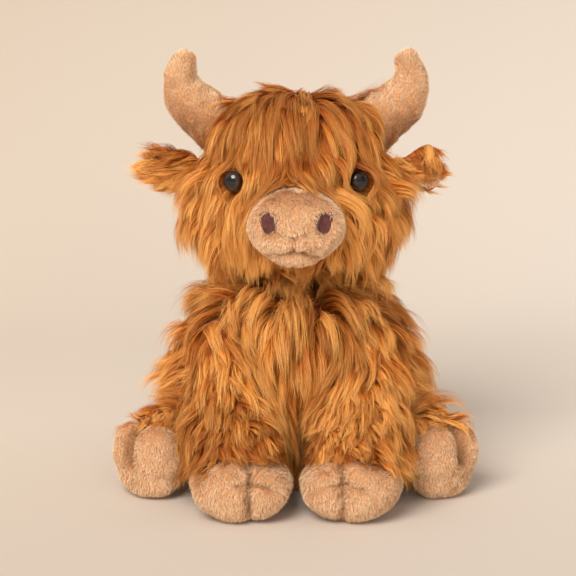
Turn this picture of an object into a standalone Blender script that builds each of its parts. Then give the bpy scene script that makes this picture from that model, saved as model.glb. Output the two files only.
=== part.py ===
# Seated plush cow: long-pile and short-pile covers over stuffing, with limbs that turn on sewn seams.
# Metres, +Z up. The cow sits on the plane z = 0 and faces -Y, so its left side is at +X.
from math import cos, pi, radians, sin, sqrt

import bmesh
import bpy
import numpy as np
from mathutils import Matrix, Vector

# Clearances and cloth
GAP = 0.0003                    # between pieces that are sewn or packed together
SEAM_GAP = 0.0004               # round the tail's ball
LEG_SEAM_GAP = 0.0012           # round the balls at the shoulders and hips
OVERRUN = 0.012                 # how far a cutter reaches past what it cuts
ROOM = 0.300                    # reach of the flat cutters
FLOOR_CUT = 0.0005              # depth of the flats that the toy rests on
LONG_PILE = 0.014               # long fur cover, from its backing to the fur's mean surface
SEAM_PILE = 0.005               # the same cover where it is sewn to its neighbour
SHORT_PILE = 0.003              # short plush cover
THREAD = 0.0012                 # stitch and patch thickness
TUFT_DEPTH = 0.0055             # how far the long fur sinks between its tufts
TUFT_MARGIN = 0.020             # even fur round what is sewn to a cover

# Torso: a pear that stands on its base
TORSO_TOP = 0.142
TORSO_HALF_WIDTH = 0.084
TORSO_FRONT = 0.062
TORSO_BACK = 0.072
TORSO_MIDDLE = 0.004            # the spine's place along Y
TORSO_BASE_CAP = 0.018          # height of the rounded base
TORSO_TOP_CAP = 0.024           # height of the rounded shoulders
TORSO_BASE_POWER = 3.2          # how blunt the base is
TORSO_SHARES = (                # height, width, front, back
    (0.00, 0.93, 0.85, 0.88),
    (0.27, 1.00, 1.00, 1.00),
    (0.62, 0.97, 1.00, 0.95),
    (0.87, 0.88, 0.92, 0.82),
    (1.00, 0.80, 0.80, 0.70),
)
BEAN_BAG_TOP = 0.036            # the bead pouch fills the seat up to here

# Neck: a ball on the torso that the head turns on
NECK_RADIUS = 0.044
NECK_MIDDLE = 0.002             # the ball's place along Y
NECK_OPENING = 0.022            # radius of the hole in the torso's cover

# Head
HEAD_SINK = 0.018               # how far the neck ball stands up into the head
HEAD_HEIGHT = 0.130
HEAD_HALF_WIDTH = 0.077
HEAD_FRONT = 0.070
HEAD_BACK = 0.060
HEAD_MIDDLE = -0.008
HEAD_JAW_CAP = 0.028
HEAD_CROWN_CAP = 0.037
HEAD_SHARES = (
    (0.00, 0.92, 0.88, 0.84),
    (0.25, 1.00, 1.00, 0.94),
    (0.60, 0.96, 1.00, 1.00),
    (1.00, 0.79, 0.85, 0.90),
)

# Muzzle
MUZZLE_RISE = 0.046             # its middle above the head's lowest point
MUZZLE_REACH = 0.034            # how far it stands out from the face
MUZZLE_HALF_WIDTH = 0.033
MUZZLE_HALF_HEIGHT = 0.027
MUZZLE_TOE_CAP = 0.024          # length of its rounded end
MUZZLE_DEPTH = 0.030            # how far it goes back into the head
MUZZLE_POWER = 2.3              # how blunt its end is
MUZZLE_SHARES = (               # length, width, height
    (0.00, 0.84, 0.82),
    (0.55, 0.98, 0.97),
    (1.00, 1.00, 1.00),
)
NOSTRIL_SPACING = 0.034
NOSTRIL_RISE = 0.005            # above the muzzle's middle
NOSTRIL_WIDTH = 0.0115
NOSTRIL_HEIGHT = 0.0145
NOSTRIL_SHARES = ((-0.62, 0.50), (0.42, 0.42), (0.50, 0.05), (0.30, -0.42), (-0.10, -0.50), (-0.46, -0.20))
MOUTH_DROP = 0.0125             # the mouth line below the muzzle's middle
MOUTH_WIDTH = 0.027
MOUTH_CURVE = 0.0022            # how far the mouth line's middle stands above its ends
MOUTH_POINTS = 7

# Eyes: a dome with a shank, locked by a washer behind the cover
EYE_SPACING = 0.085
EYE_RISE = 0.073                # above the head's lowest point
EYE_RADIUS = 0.0065
EYE_DOME = 0.0045               # how far the dome rises from its rim
EYE_RIM = 0.0015                # thickness of the rim under the dome
EYE_PROUD = 0.0015              # how far the dome stands out of the fur's mean surface
EYE_TURN = radians(24)          # how far each eye looks outwards
SHANK_RADIUS = 0.0019
SHANK_PAST = 0.0035             # how far the shank reaches past its washer
WASHER_RADIUS = 0.0065
WASHER_THICKNESS = 0.0016
WASHER_SEAT = 0.0010            # how far the washer is let into the cover's inside
EYE_STEPS = 4
MERGE = 0.00001

# Horns
HORN_ROOT_OUT = 0.046
HORN_ROOT_BACK = 0.003
HORN_ROOT_RISE = 0.092          # above the head's lowest point
HORN_SPREAD = 0.0325
HORN_RISE = 0.056
HORN_RADIUS = 0.018
HORN_TIP_CAP = 0.0065
HORN_SHARES = (                 # outwards, upwards, radius
    (0.00, 0.00, 0.97),
    (0.40, 0.26, 1.00),
    (0.84, 0.50, 0.92),
    (1.00, 0.75, 0.68),
    (0.93, 1.00, 0.46),
)

# Ears
EAR_RISE = 0.070                # the root above the head's lowest point
EAR_MIDDLE = 0.000
EAR_SINK = 0.003                # how deep the root's middle lies in the head
EAR_ROOT_RADIUS = 0.012         # the root is a disc that turns in the head
EAR_ROOT_HALF_THICKNESS = 0.0068
EAR_ROOT_GAP = 0.0007
EAR_LENGTH = 0.0355             # from the root's middle to the rounded tip
EAR_HALF_WIDTH = 0.0175
EAR_HALF_THICKNESS = 0.0065
EAR_TIP_CAP = 0.008
EAR_LIFT = radians(8)
EAR_SHARES = (                  # length, width, thickness
    (0.25, 0.53, 0.94),
    (0.50, 0.86, 1.00),
    (0.77, 1.00, 0.92),
    (1.00, 0.72, 0.72),
)
LINING_THICKNESS = 0.0025
LINING_SHARE = 0.74             # the lining's width against the ear's

# Front legs
SHOULDER_OUT = 0.050
SHOULDER_FORWARD = 0.044
SHOULDER_HEIGHT = 0.104
FRONT_ANKLE_OUT = 0.0375
FRONT_ANKLE_FORWARD = 0.090
FRONT_ANKLE_HEIGHT = 0.036
LEG_RADIUS = 0.020              # of the stuffing
LEG_SHARES = (                  # length, stuffing radius, pile
    (0.00, 0.98, 0.00),
    (0.30, 0.90, 0.70),
    (0.62, 1.04, 0.95),
    (1.00, 1.10, 1.00),
)
LEG_END_CAP = 0.012

# Rear legs
HIP_OUT = 0.062
HIP_FORWARD = 0.016
HIP_HEIGHT = 0.034
REAR_LEG_LENGTH = 0.045         # from the hip to the ankle
REAR_LEG_TURN = radians(43)     # outwards from straight ahead
REAR_LEG_RADIUS = 0.0185
REAR_PILE_SHARE = 0.95          # of the pile, so that the sleeve clears the floor
REAR_SWING = radians(25)        # how far each rear leg turns outwards
SLEEVE_CLEARANCE = 0.0010       # between the sleeves of neighbouring legs

# Hooves: the toe is one end, the sole is a side
HOOF_HALF_WIDTH = 0.0345
HOOF_HALF_HEIGHT = 0.0210
HOOF_HALF_LENGTH = 0.0330
FRONT_HOOF_FORWARD = 0.097
FRONT_HOOF_OUT = 0.0365
REAR_HOOF_HALF_WIDTH = 0.0275
REAR_HOOF_HALF_HEIGHT = 0.0185
REAR_HOOF_HALF_LENGTH = 0.0253
REAR_HOOF_REACH = 0.0565        # from the hip to the hoof's middle
HOOF_CAP_SHARE = 0.62           # of the half length, for each rounded end
HOOF_POWER = 2.4                # how blunt each end is
HOOF_SHARES = (                 # length, width, height
    (0.00, 0.88, 0.90),
    (0.45, 1.00, 1.00),
    (1.00, 0.93, 0.96),
)
CLEFT_DEPTH = 0.0045
LEG_OPENING = 0.010             # radius of the hole in a sleeve's closed end

# Tail
TAIL_HEIGHT = 0.052
TAIL_SINK = 0.002
TAIL_BALL = 0.0070
TAIL_CORD_RADIUS = 0.0035
TAIL_TUFT_RADIUS = 0.0105
TAIL_DROP = 0.040               # from the root to the tuft's end, before its rounded tip
TAIL_TIP_CAP = 0.007
TAIL_SHARES = (                 # backwards, downwards
    (0.00, 0.00),
    (0.14, 0.08),
    (0.28, 0.20),
    (0.37, 0.50),
    (0.38, 1.00),
)
TUFT_SHARES = ((0.00, 0.50), (0.45, 1.00), (1.00, 0.62))                 # length, radius

# Facets
TORSO_SIDES = 20
HEAD_SIDES = 20
MUZZLE_SIDES = 16
HOOF_SIDES = 14
LIMB_SIDES = 12
CORE_SIDES = 10
SMALL_SIDES = 8
NECK_SIDES = 28
BALL_SIDES = 16
SOCKET_SIDES = 14

# Colours
GINGER = (0.52, 0.23, 0.06)
RUST = (0.42, 0.17, 0.05)
BEIGE = (0.66, 0.44, 0.27)
MAROON = (0.08, 0.022, 0.018)
BROWN_THREAD = (0.38, 0.22, 0.12)
FILL = (0.86, 0.85, 0.81)
POUCH = (0.78, 0.76, 0.70)
JET = (0.012, 0.010, 0.010)
IVORY = (0.85, 0.85, 0.82)
CLOTH_ROUGHNESS = 0.9
EYE_ROUGHNESS = 0.08
WASHER_ROUGHNESS = 0.4

SIDES = (("left", 1), ("right", -1))
WIDE = Vector((1, 0, 0))
AHEAD = Vector((0, -1, 0))
UP = Vector((0, 0, 1))

for thing in list(bpy.data.objects):
    bpy.data.objects.remove(thing)

parts = bpy.data.collections.new("plush_cow")
guides = bpy.data.collections.new("cutters")
bpy.context.scene.collection.children.link(parts)
bpy.context.scene.collection.children.link(guides)


def cloth(name, colour, roughness):
    made = bpy.data.materials.new(name)
    made.use_nodes = True
    shader = made.node_tree.nodes["Principled BSDF"]
    shader.inputs["Base Color"].default_value = (*colour, 1)
    shader.inputs["Roughness"].default_value = roughness
    made.diffuse_color = (*colour, 1)
    return made


def add(name, mesh, colour=None, roughness=CLOTH_ROUGHNESS):
    thing = bpy.data.objects.new(name, mesh)
    if colour is None:
        guides.objects.link(thing)
        thing.hide_render = True
        thing.display_type = "WIRE"
    else:
        parts.objects.link(thing)
        mesh.materials.append(cloth(name, colour, roughness))
    return thing


def finish_mesh(name, bm, smooth=True):
    bmesh.ops.recalc_face_normals(bm, faces=bm.faces)
    mesh = bpy.data.meshes.new(name)
    bm.to_mesh(mesh)
    bm.free()
    if smooth:
        mesh.shade_smooth()
        mesh.set_sharp_from_angle(angle=radians(50))
    return mesh


# Boolean modifiers, in the order given
def modify(thing, operation, tools):
    for tool in tools:
        step = thing.modifiers.new(f"{operation.lower()}_{tool.name}", "BOOLEAN")
        step.operation = operation
        step.solver = "EXACT"
        step.object = tool
    return thing


def cut(thing, *tools):
    return modify(thing, "DIFFERENCE", tools)


def join(thing, *tools):
    return modify(thing, "UNION", tools)


def keep(thing, *tools):
    return modify(thing, "INTERSECT", tools)


def spline(rows, steps):
    rows = np.array(rows, float)
    ends = np.vstack([2 * rows[0] - rows[1], rows, 2 * rows[-1] - rows[-2]])
    out = []
    for i in range(1, len(ends) - 2):
        a, b, c, d = ends[i - 1:i + 3]
        for k in range(steps):
            t = k / steps
            out.append(b + (c - a) * t / 2 + (2 * a - 5 * b + 4 * c - d) * t ** 2 / 2
                       + (3 * b - a - 3 * c + d) * t ** 3 / 2)
    out.append(rows[-1])
    return np.array(out)


# A stuffed form. Each station is a centre and half sizes: each way across, ahead and behind.
# Both ends are domes of the given heights, and a power above 2 makes a dome blunter.
# grow moves the whole surface outwards, or inwards where it is below zero. The faces are triangles, so
# that forms of one family nest with an even gap. Between its tufts a form sinks at every other point, except
# in its first dome and near the balls in sewn.
def form(name, stations, across, first_cap, last_cap, grow=0.0, sides=LIMB_SIDES, steps=2, cap_steps=3,
         first_power=2.0, last_power=2.0, crease=0.0, tufts=0.0, sewn=(), colour=None):
    rows = spline(stations, steps)
    centres = [Vector(row[:3]) for row in rows]
    last = len(rows) - 1
    along = [(centres[min(i + 1, last)] - centres[max(i - 1, 0)]).normalized() for i in range(len(rows))]
    rings = []

    def ring(i, shift, scale, creased):
        side = (across - along[i] * across.dot(along[i])).normalized()
        face = along[i].cross(side)
        half_side, half_face, half_back = rows[i][3:6] + grow
        points = []
        for k in range(sides):
            angle = 2 * pi * (k + (0 if crease else 1 / 2)) / sides
            depth = half_face if cos(angle) > 0 else half_back
            sunk = crease * min(1, creased / last) if k == 0 or (k * 2 == sides and creased > last) else 0
            reach = shift - sunk * (1 - scale)
            out = (along[i] * reach
                   + (side * sin(angle) * half_side + face * cos(angle) * (depth - sunk)) * scale)
            if tufts and len(rings) >= cap_steps and (len(rings) + min(k, sides - 1 - k)) % 2:
                if all((centres[i] + out - place).length > radius + TUFT_MARGIN for place, radius in sewn):
                    out -= out.normalized() * tufts
            points.append(centres[i] + out)
        rings.append(points)

    for k in range(cap_steps - 1, 0, -1):
        t = sin(pi / 2 * k / cap_steps)
        ring(0, -(first_cap + grow) * t, (1 - t ** first_power) ** (1 / first_power), 0)
    for i in range(len(rows)):
        ring(i, 0, 1, i)
    for k in range(1, cap_steps):
        t = sin(pi / 2 * k / cap_steps)
        ring(last, (last_cap + grow) * t, (1 - t ** last_power) ** (1 / last_power), last + 1)

    bm = bmesh.new()
    loops = [[bm.verts.new(p) for p in points] for points in rings]
    for low, high in zip(loops, loops[1:]):
        for k in range(sides):
            if k * 2 < sides:
                bm.faces.new((low[k - 1], low[k], high[k - 1]))
                bm.faces.new((low[k], high[k], high[k - 1]))
            else:
                bm.faces.new((low[k - 1], low[k], high[k]))
                bm.faces.new((low[k - 1], high[k], high[k - 1]))
    poles = (bm.verts.new(centres[0] - along[0] * (first_cap + grow)),
             bm.verts.new(centres[-1] + along[-1] * (last_cap + grow - crease)))
    for pole, loop in zip(poles, (loops[0], loops[-1])):
        for k in range(sides):
            bm.faces.new((loop[k - 1], loop[k], pole))
    return add(name, finish_mesh(name, bm), colour)


def ball(name, centre, radius, sides=BALL_SIDES, flatness=1.0):
    bm = bmesh.new()
    bmesh.ops.create_uvsphere(bm, u_segments=sides, v_segments=sides // 2, radius=radius)
    bmesh.ops.scale(bm, verts=bm.verts, vec=WIDE + UP - AHEAD * flatness)
    bmesh.ops.translate(bm, verts=bm.verts, vec=centre)
    return add(name, finish_mesh(name, bm))


# A ball cutter whose facets all stay outside the radius, so that a ball turns inside it. flatness squeezes it
# along Y, for a disc.
def socket_for(name, centre, radius, gap=SEAM_GAP, sides=SOCKET_SIDES, flatness=1.0):
    return ball(name, centre, (radius + gap) / cos(pi / sides) ** 2, sides, flatness)


# A straight rod between two points
def rod(name, start, end, radius, sides=BALL_SIDES, colour=None, roughness=CLOTH_ROUGHNESS):
    line = end - start
    bm = bmesh.new()
    bmesh.ops.create_cone(bm, cap_ends=True, segments=sides, radius1=radius, radius2=radius,
                          depth=line.length)
    turn = UP.rotation_difference(line).to_matrix().to_4x4()
    bmesh.ops.transform(bm, verts=bm.verts, matrix=Matrix.Translation((start + end) / 2) @ turn)
    return add(name, finish_mesh(name, bm), colour, roughness)


# A box between two corners, in the frame that place gives
def block(name, low, high, place=None):
    bm = bmesh.new()
    bmesh.ops.create_cube(bm, size=1)
    bmesh.ops.scale(bm, vec=high - low, verts=bm.verts)
    bmesh.ops.translate(bm, vec=(low + high) / 2, verts=bm.verts)
    if place:
        bmesh.ops.transform(bm, matrix=place, verts=bm.verts)
    return add(name, finish_mesh(name, bm, smooth=False))


# A flat outline in X and Z, thickened along Y
def prism(name, points, front, back):
    bm = bmesh.new()
    loop = [bm.verts.new((x, front, z)) for x, z in points]
    face = bm.faces.new(loop)
    made = bmesh.ops.extrude_face_region(bm, geom=[face])["geom"]
    bmesh.ops.translate(bm, vec=Vector((0, back - front, 0)),
                        verts=[v for v in made if isinstance(v, bmesh.types.BMVert)])
    return add(name, finish_mesh(name, bm, smooth=False))


# Everything behind a plane
def behind(name, point, normal):
    place = Matrix.Translation(point) @ UP.rotation_difference(normal).to_matrix().to_4x4()
    return block(name, Vector((-ROOM, -ROOM, -ROOM)), Vector((ROOM, ROOM, 0)), place)


# The point where a ray from inside leaves a form
def surface_point(thing, start, direction):
    bpy.context.view_layer.update()
    hit, place, normal, index = thing.ray_cast(start, direction)
    return place, normal


def seat_on(pivot_name, pivot, things):
    joint = bpy.data.objects.new(pivot_name, None)
    joint.location = pivot
    parts.objects.link(joint)
    bpy.context.view_layer.update()
    for thing in things:
        thing.parent = joint
        thing.matrix_parent_inverse = joint.matrix_world.inverted()

floor = block("cut_floor", Vector((-ROOM, -ROOM, -OVERRUN)), Vector((ROOM, ROOM, 0)))

# Where the limbs are sewn on
shoulders = {label: Vector((side * SHOULDER_OUT, -SHOULDER_FORWARD, SHOULDER_HEIGHT))
             for label, side in SIDES}
ankles = {label: Vector((side * FRONT_ANKLE_OUT, -FRONT_ANKLE_FORWARD, FRONT_ANKLE_HEIGHT))
          for label, side in SIDES}
hips = {label: Vector((side * HIP_OUT, -HIP_FORWARD, HIP_HEIGHT)) for label, side in SIDES}

# Torso
torso_low = TORSO_BASE_CAP - FLOOR_CUT
torso_high = TORSO_TOP - TORSO_TOP_CAP
torso_stations = [
    (0, TORSO_MIDDLE, torso_low + (torso_high - torso_low) * height,
     TORSO_HALF_WIDTH * width, TORSO_FRONT * front, TORSO_BACK * back)
    for height, width, front, back in TORSO_SHARES
]


def torso_form(name, grow, sides, colour=None, tufts=0.0, sewn=()):
    return form(name, torso_stations, -WIDE, TORSO_BASE_CAP, TORSO_TOP_CAP, grow, sides,
                2 if grow >= 0 else 1, first_power=TORSO_BASE_POWER, tufts=tufts, sewn=sewn, colour=colour)


neck = Vector((0, NECK_MIDDLE, torso_high))
neck_ball = ball("join_neck", neck, NECK_RADIUS, NECK_SIDES)
neck_socket = socket_for("cut_neck_socket", neck, NECK_RADIUS, GAP, NECK_SIDES)
plug_top = neck + UP * sqrt(NECK_RADIUS ** 2 - NECK_OPENING ** 2)
neck_hole = rod("cut_neck_hole", neck, neck + UP * (NECK_RADIUS + OVERRUN), NECK_OPENING)
neck_plug = rod("join_neck_plug", neck - UP * GAP, plug_top - UP * GAP, NECK_OPENING - GAP)
torso_skin = torso_form("cut_torso", GAP, TORSO_SIDES)
torso_hollow = torso_form("cut_torso_hollow", GAP - LONG_PILE, CORE_SIDES + 2)
above_bag = block("cut_above_bag", Vector((-ROOM, -ROOM, BEAN_BAG_TOP)), Vector((ROOM, ROOM, ROOM)))
below_bag = block("cut_below_bag", Vector((-ROOM, -ROOM, -OVERRUN)), Vector((ROOM, ROOM, BEAN_BAG_TOP + GAP)))

tail_root = surface_point(torso_skin, Vector((0, 0, TAIL_HEIGHT)), -AHEAD)[0] + AHEAD * TAIL_SINK
body_sewn = [(tail_root, TAIL_BALL)]
body_sewn += [(place, LEG_RADIUS + LONG_PILE) for place in (*shoulders.values(), *ankles.values())]
body_sewn += [(place, REAR_LEG_RADIUS + LONG_PILE) for place in hips.values()]
body_cover = torso_form("body_cover", 0, TORSO_SIDES, GINGER, TUFT_DEPTH, body_sewn)
join(body_cover, neck_ball)
body_stuffing = torso_form("body_stuffing", -LONG_PILE, CORE_SIDES + 2, FILL)
join(body_stuffing, neck_plug)
cut(body_stuffing, below_bag)
seat_bean_bag = torso_form("seat_bean_bag", -LONG_PILE, CORE_SIDES + 2, POUCH)
cut(seat_bean_bag, above_bag)

# Head
head_low = neck.z + NECK_RADIUS - HEAD_SINK
head_first = head_low + HEAD_JAW_CAP
head_last = head_low + HEAD_HEIGHT - HEAD_CROWN_CAP
head_stations = [
    (0, HEAD_MIDDLE, head_first + (head_last - head_first) * height,
     HEAD_HALF_WIDTH * width, HEAD_FRONT * front, HEAD_BACK * back)
    for height, width, front, back in HEAD_SHARES
]


def head_form(name, grow, sides, colour=None, tufts=0.0, sewn=()):
    return form(name, head_stations, -WIDE, HEAD_JAW_CAP, HEAD_CROWN_CAP, grow, sides, 2 if grow >= 0 else 1,
                tufts=tufts, sewn=sewn, colour=colour)


head_skin = head_form("cut_head", GAP, HEAD_SIDES)
head_hollow = head_form("cut_head_hollow", GAP - LONG_PILE, CORE_SIDES + 2)
head_stuffing = head_form("head_stuffing", -LONG_PILE, CORE_SIDES + 2, FILL)
muzzle_height = head_low + MUZZLE_RISE
face_front = HEAD_FRONT - HEAD_MIDDLE
horn_roots = {}
eye_spots = {}
ear_roots = {}
for side_name, side in SIDES:
    horn_roots[side_name] = Vector((side * HORN_ROOT_OUT, HORN_ROOT_BACK, head_low + HORN_ROOT_RISE))
    start = Vector((side * EYE_SPACING / 2, HEAD_MIDDLE, head_low + EYE_RISE))
    eye_spots[side_name] = surface_point(head_skin, start, AHEAD)[0]
    start = Vector((0, EAR_MIDDLE, head_low + EAR_RISE))
    ear_roots[side_name] = surface_point(head_skin, start, WIDE * side)[0] - WIDE * side * EAR_SINK
head_sewn = [(neck, NECK_RADIUS), (Vector((0, -face_front, muzzle_height)), MUZZLE_HALF_WIDTH)]
head_sewn += [(place, HORN_RADIUS) for place in horn_roots.values()]
head_sewn += [(place, EYE_RADIUS) for place in eye_spots.values()]
head_sewn += [(place, EAR_ROOT_RADIUS) for place in ear_roots.values()]
head_cover = head_form("head_cover", 0, HEAD_SIDES, GINGER, TUFT_DEPTH, head_sewn)

# Muzzle
muzzle_first = face_front - MUZZLE_DEPTH
muzzle_last = face_front + MUZZLE_REACH - MUZZLE_TOE_CAP
muzzle_stations = [
    (0, -muzzle_first - (muzzle_last - muzzle_first) * length, muzzle_height,
     MUZZLE_HALF_WIDTH * width, MUZZLE_HALF_HEIGHT * height, MUZZLE_HALF_HEIGHT * height)
    for length, width, height in MUZZLE_SHARES
]


def muzzle_form(name, grow, sides, colour=None):
    return form(name, muzzle_stations, WIDE, SHORT_PILE, MUZZLE_TOE_CAP, grow, sides, cap_steps=4,
                last_power=MUZZLE_POWER, colour=colour)


muzzle_skin = muzzle_form("cut_muzzle", GAP, MUZZLE_SIDES)
muzzle_cover = muzzle_form("muzzle_cover", 0, MUZZLE_SIDES, BEIGE)
cut(muzzle_cover, muzzle_form("cut_muzzle_hollow", GAP - SHORT_PILE, CORE_SIDES + 2), head_hollow)
muzzle_stuffing = muzzle_form("muzzle_stuffing", -SHORT_PILE, CORE_SIDES + 2, FILL)
cut(muzzle_stuffing, head_hollow)
muzzle_tip = face_front + MUZZLE_REACH + OVERRUN


# A patch of cloth or thread that lies on the muzzle, inside an outline
def muzzle_patch(name, outline, colour):
    patch = muzzle_form(name, THREAD + GAP, MUZZLE_SIDES, colour)
    keep(patch, prism(f"keep_{name}", outline, -face_front, -muzzle_tip))
    return cut(patch, muzzle_skin)


nostril_patches = []
for side_name, side in SIDES:
    outline = [(side * (NOSTRIL_SPACING / 2 - across * NOSTRIL_WIDTH),
                muzzle_height + NOSTRIL_RISE + up * NOSTRIL_HEIGHT) for across, up in NOSTRIL_SHARES]
    nostril_patches.append(muzzle_patch(f"nostril_patch_{side_name}", outline, MAROON))

mouth_steps = [k / MOUTH_POINTS for k in range(MOUTH_POINTS + 1)]
mouth_line = [(MOUTH_WIDTH * (t - 1 / 2), muzzle_height - MOUTH_DROP + MOUTH_CURVE * sin(pi * t))
              for t in mouth_steps]
mouth_stitch = muzzle_patch("mouth_stitch", [(x, z + THREAD / 2) for x, z in mouth_line]
                            + [(x, z - THREAD / 2) for x, z in reversed(mouth_line)], BROWN_THREAD)

# Horns
horn_pieces = []
for side_name, side in SIDES:
    horn_root = horn_roots[side_name]
    horn_stations = [
        (*(horn_root + WIDE * side * HORN_SPREAD * out + UP * HORN_RISE * up), *[HORN_RADIUS * size] * 3)
        for out, up, size in HORN_SHARES
    ]

    def horn_form(name, grow, sides, colour=None):
        return form(name, horn_stations, AHEAD, SHORT_PILE, HORN_TIP_CAP, grow, sides,
                    2 if grow >= 0 else 1, 2, colour=colour)

    cover = horn_form(f"horn_cover_{side_name}", 0, LIMB_SIDES, BEIGE)
    cut(cover, horn_form(f"cut_horn_hollow_{side_name}", GAP - SHORT_PILE, SMALL_SIDES), head_hollow)
    stuffing = horn_form(f"horn_stuffing_{side_name}", -SHORT_PILE, SMALL_SIDES, FILL)
    cut(stuffing, head_hollow)
    cut(head_cover, horn_form(f"cut_horn_{side_name}", GAP, LIMB_SIDES))
    horn_pieces += [cover, stuffing]

# Eyes
eye_pieces = []
for side_name, side in SIDES:
    spot = eye_spots[side_name]
    gaze = Vector((side * sin(EYE_TURN), -cos(EYE_TURN), 0))
    centre = spot + gaze * (EYE_PROUD - EYE_DOME)
    well_depth = EYE_DOME - EYE_PROUD + EYE_RIM
    washer_depth = LONG_PILE - WASHER_SEAT
    shank_depth = washer_depth + WASHER_THICKNESS + SHANK_PAST

    profile = [(EYE_RADIUS * sin(pi / 2 * k / EYE_STEPS), EYE_DOME * cos(pi / 2 * k / EYE_STEPS))
               for k in range(EYE_STEPS + 1)]
    shank_end = EYE_DOME - EYE_PROUD - shank_depth
    profile += [(EYE_RADIUS, -EYE_RIM), (SHANK_RADIUS, -EYE_RIM), (SHANK_RADIUS, shank_end), (0, shank_end)]
    bm = bmesh.new()
    dots = [bm.verts.new((x, 0, z)) for x, z in profile]
    for one, other in zip(dots, dots[1:]):
        bm.edges.new((one, other))
    mesh = bpy.data.meshes.new(f"eye_{side_name}")
    bm.to_mesh(mesh)
    bm.free()
    eye = add(f"eye_{side_name}", mesh, JET, EYE_ROUGHNESS)
    spin = eye.modifiers.new("turned", "SCREW")
    spin.steps = CORE_SIDES
    spin.render_steps = CORE_SIDES
    spin.use_merge_vertices = True
    spin.merge_threshold = MERGE
    spin.use_smooth_shade = True
    eye.matrix_world = Matrix.Translation(centre) @ UP.rotation_difference(gaze).to_matrix().to_4x4()

    washer = rod(f"eye_washer_{side_name}", spot - gaze * washer_depth,
                 spot - gaze * (washer_depth + WASHER_THICKNESS), WASHER_RADIUS, CORE_SIDES, IVORY,
                 WASHER_ROUGHNESS)
    cut(washer, rod(f"cut_washer_hole_{side_name}", spot, spot - gaze * (shank_depth + OVERRUN),
                    SHANK_RADIUS + GAP, SMALL_SIDES))
    well = rod(f"cut_eye_well_{side_name}", spot + gaze * OVERRUN, spot - gaze * (well_depth + GAP),
               EYE_RADIUS + GAP)
    shaft = rod(f"cut_eye_shaft_{side_name}", spot, spot - gaze * (shank_depth + OVERRUN), SHANK_RADIUS + GAP,
                SMALL_SIDES)
    pocket = rod(f"cut_eye_pocket_{side_name}", spot - gaze * (washer_depth - GAP),
                 spot - gaze * (shank_depth + GAP), WASHER_RADIUS + GAP)
    cut(head_cover, well, shaft, pocket)
    cut(head_stuffing, pocket)
    eye_pieces += [eye, washer]

# Ears: a leaf on a disc, with a lining let into its front
ears = {}
for side_name, side in SIDES:
    root = ear_roots[side_name]
    out = Vector((side * cos(EAR_LIFT), 0, sin(EAR_LIFT)))
    ear_stations = [(*root, EAR_ROOT_RADIUS, EAR_ROOT_HALF_THICKNESS, EAR_ROOT_HALF_THICKNESS)] + [
        (*(root + out * EAR_LENGTH * length), EAR_HALF_WIDTH * width, EAR_HALF_THICKNESS * depth,
         EAR_HALF_THICKNESS * depth) for length, width, depth in EAR_SHARES
    ]
    lining_stations = [
        (*(root + out * EAR_LENGTH * length + AHEAD * EAR_HALF_THICKNESS * depth),
         EAR_HALF_WIDTH * width * LINING_SHARE, LINING_THICKNESS / 2, LINING_THICKNESS / 2)
        for length, width, depth in EAR_SHARES
    ]
    outer = form(f"ear_outer_{side_name}", ear_stations, UP, EAR_ROOT_RADIUS, EAR_TIP_CAP, colour=GINGER)
    lining = form(f"ear_lining_{side_name}", lining_stations, UP, EAR_TIP_CAP / 2, EAR_TIP_CAP / 2, 0,
                  SMALL_SIDES, 1, 2, colour=BEIGE)
    cut(outer, form(f"cut_lining_{side_name}", lining_stations, UP, EAR_TIP_CAP / 2, EAR_TIP_CAP / 2, GAP,
                    SMALL_SIDES, 1, 2))
    socket = socket_for(f"cut_ear_socket_{side_name}", root, EAR_ROOT_RADIUS, EAR_ROOT_GAP, BALL_SIDES,
                        EAR_ROOT_HALF_THICKNESS / EAR_ROOT_RADIUS)
    cut(head_cover, socket)
    cut(head_stuffing, socket)
    ears[side_name] = (root, [outer, lining])

cut(head_cover, muzzle_skin, head_hollow, neck_socket)
cut(head_stuffing, neck_socket)


# Hooves: the same form for all four, in the frame of its own toe and sole
class Hoof:
    def __init__(self, label, centre, toe, across, half_width, half_height, half_length):
        self.label = label
        self.centre = centre
        self.toe = toe
        self.across = across
        self.half_width = half_width
        self.half_height = half_height
        self.cap = half_length * HOOF_CAP_SHARE
        self.run = half_length - self.cap
        self.length = half_length
        self.stations = [
            (*(centre + toe * self.run * (2 * length - 1)), half_width * width, half_height * height,
             half_height * height) for length, width, height in HOOF_SHARES
        ]

    def form(self, name, grow, sides, colour=None):
        return form(f"{name}_{self.label}", self.stations, self.across, self.cap, self.cap, grow, sides,
                    2 if grow >= 0 else 1, first_power=HOOF_POWER, last_power=HOOF_POWER, crease=CLEFT_DEPTH,
                    colour=colour)

    # The cover, its stuffing and the thread in its cleft. core and sleeve are cutters shaped as the leg's.
    def pieces(self, kind, core, sleeve):
        hollow = self.form(f"cut_{kind}_hoof_hollow", GAP - SHORT_PILE, CORE_SIDES)
        cover = self.form(f"{kind}_hoof_cover", 0, HOOF_SIDES, BEIGE)
        cut(cover, hollow, core, floor)
        stuffing = self.form(f"{kind}_hoof_stuffing", -SHORT_PILE, CORE_SIDES, FILL)
        thread = self.form(f"{kind}_toe_stitch", THREAD + GAP, HOOF_SIDES, BROWN_THREAD)
        face = self.toe.cross(self.across)
        place = Matrix((self.across, face, self.toe)).transposed().to_4x4()
        place.translation = self.centre
        low = Vector((-THREAD / 2, -self.half_height / 2, self.run))
        high = Vector((THREAD / 2, self.half_height + OVERRUN, self.length + OVERRUN))
        keep(thread, block(f"keep_{kind}_stitch_{self.label}", low, high, place))
        cut(thread, self.form(f"cut_{kind}_hoof_skin", GAP, HOOF_SIDES), sleeve)
        return [cover, stuffing, thread], hollow


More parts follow.
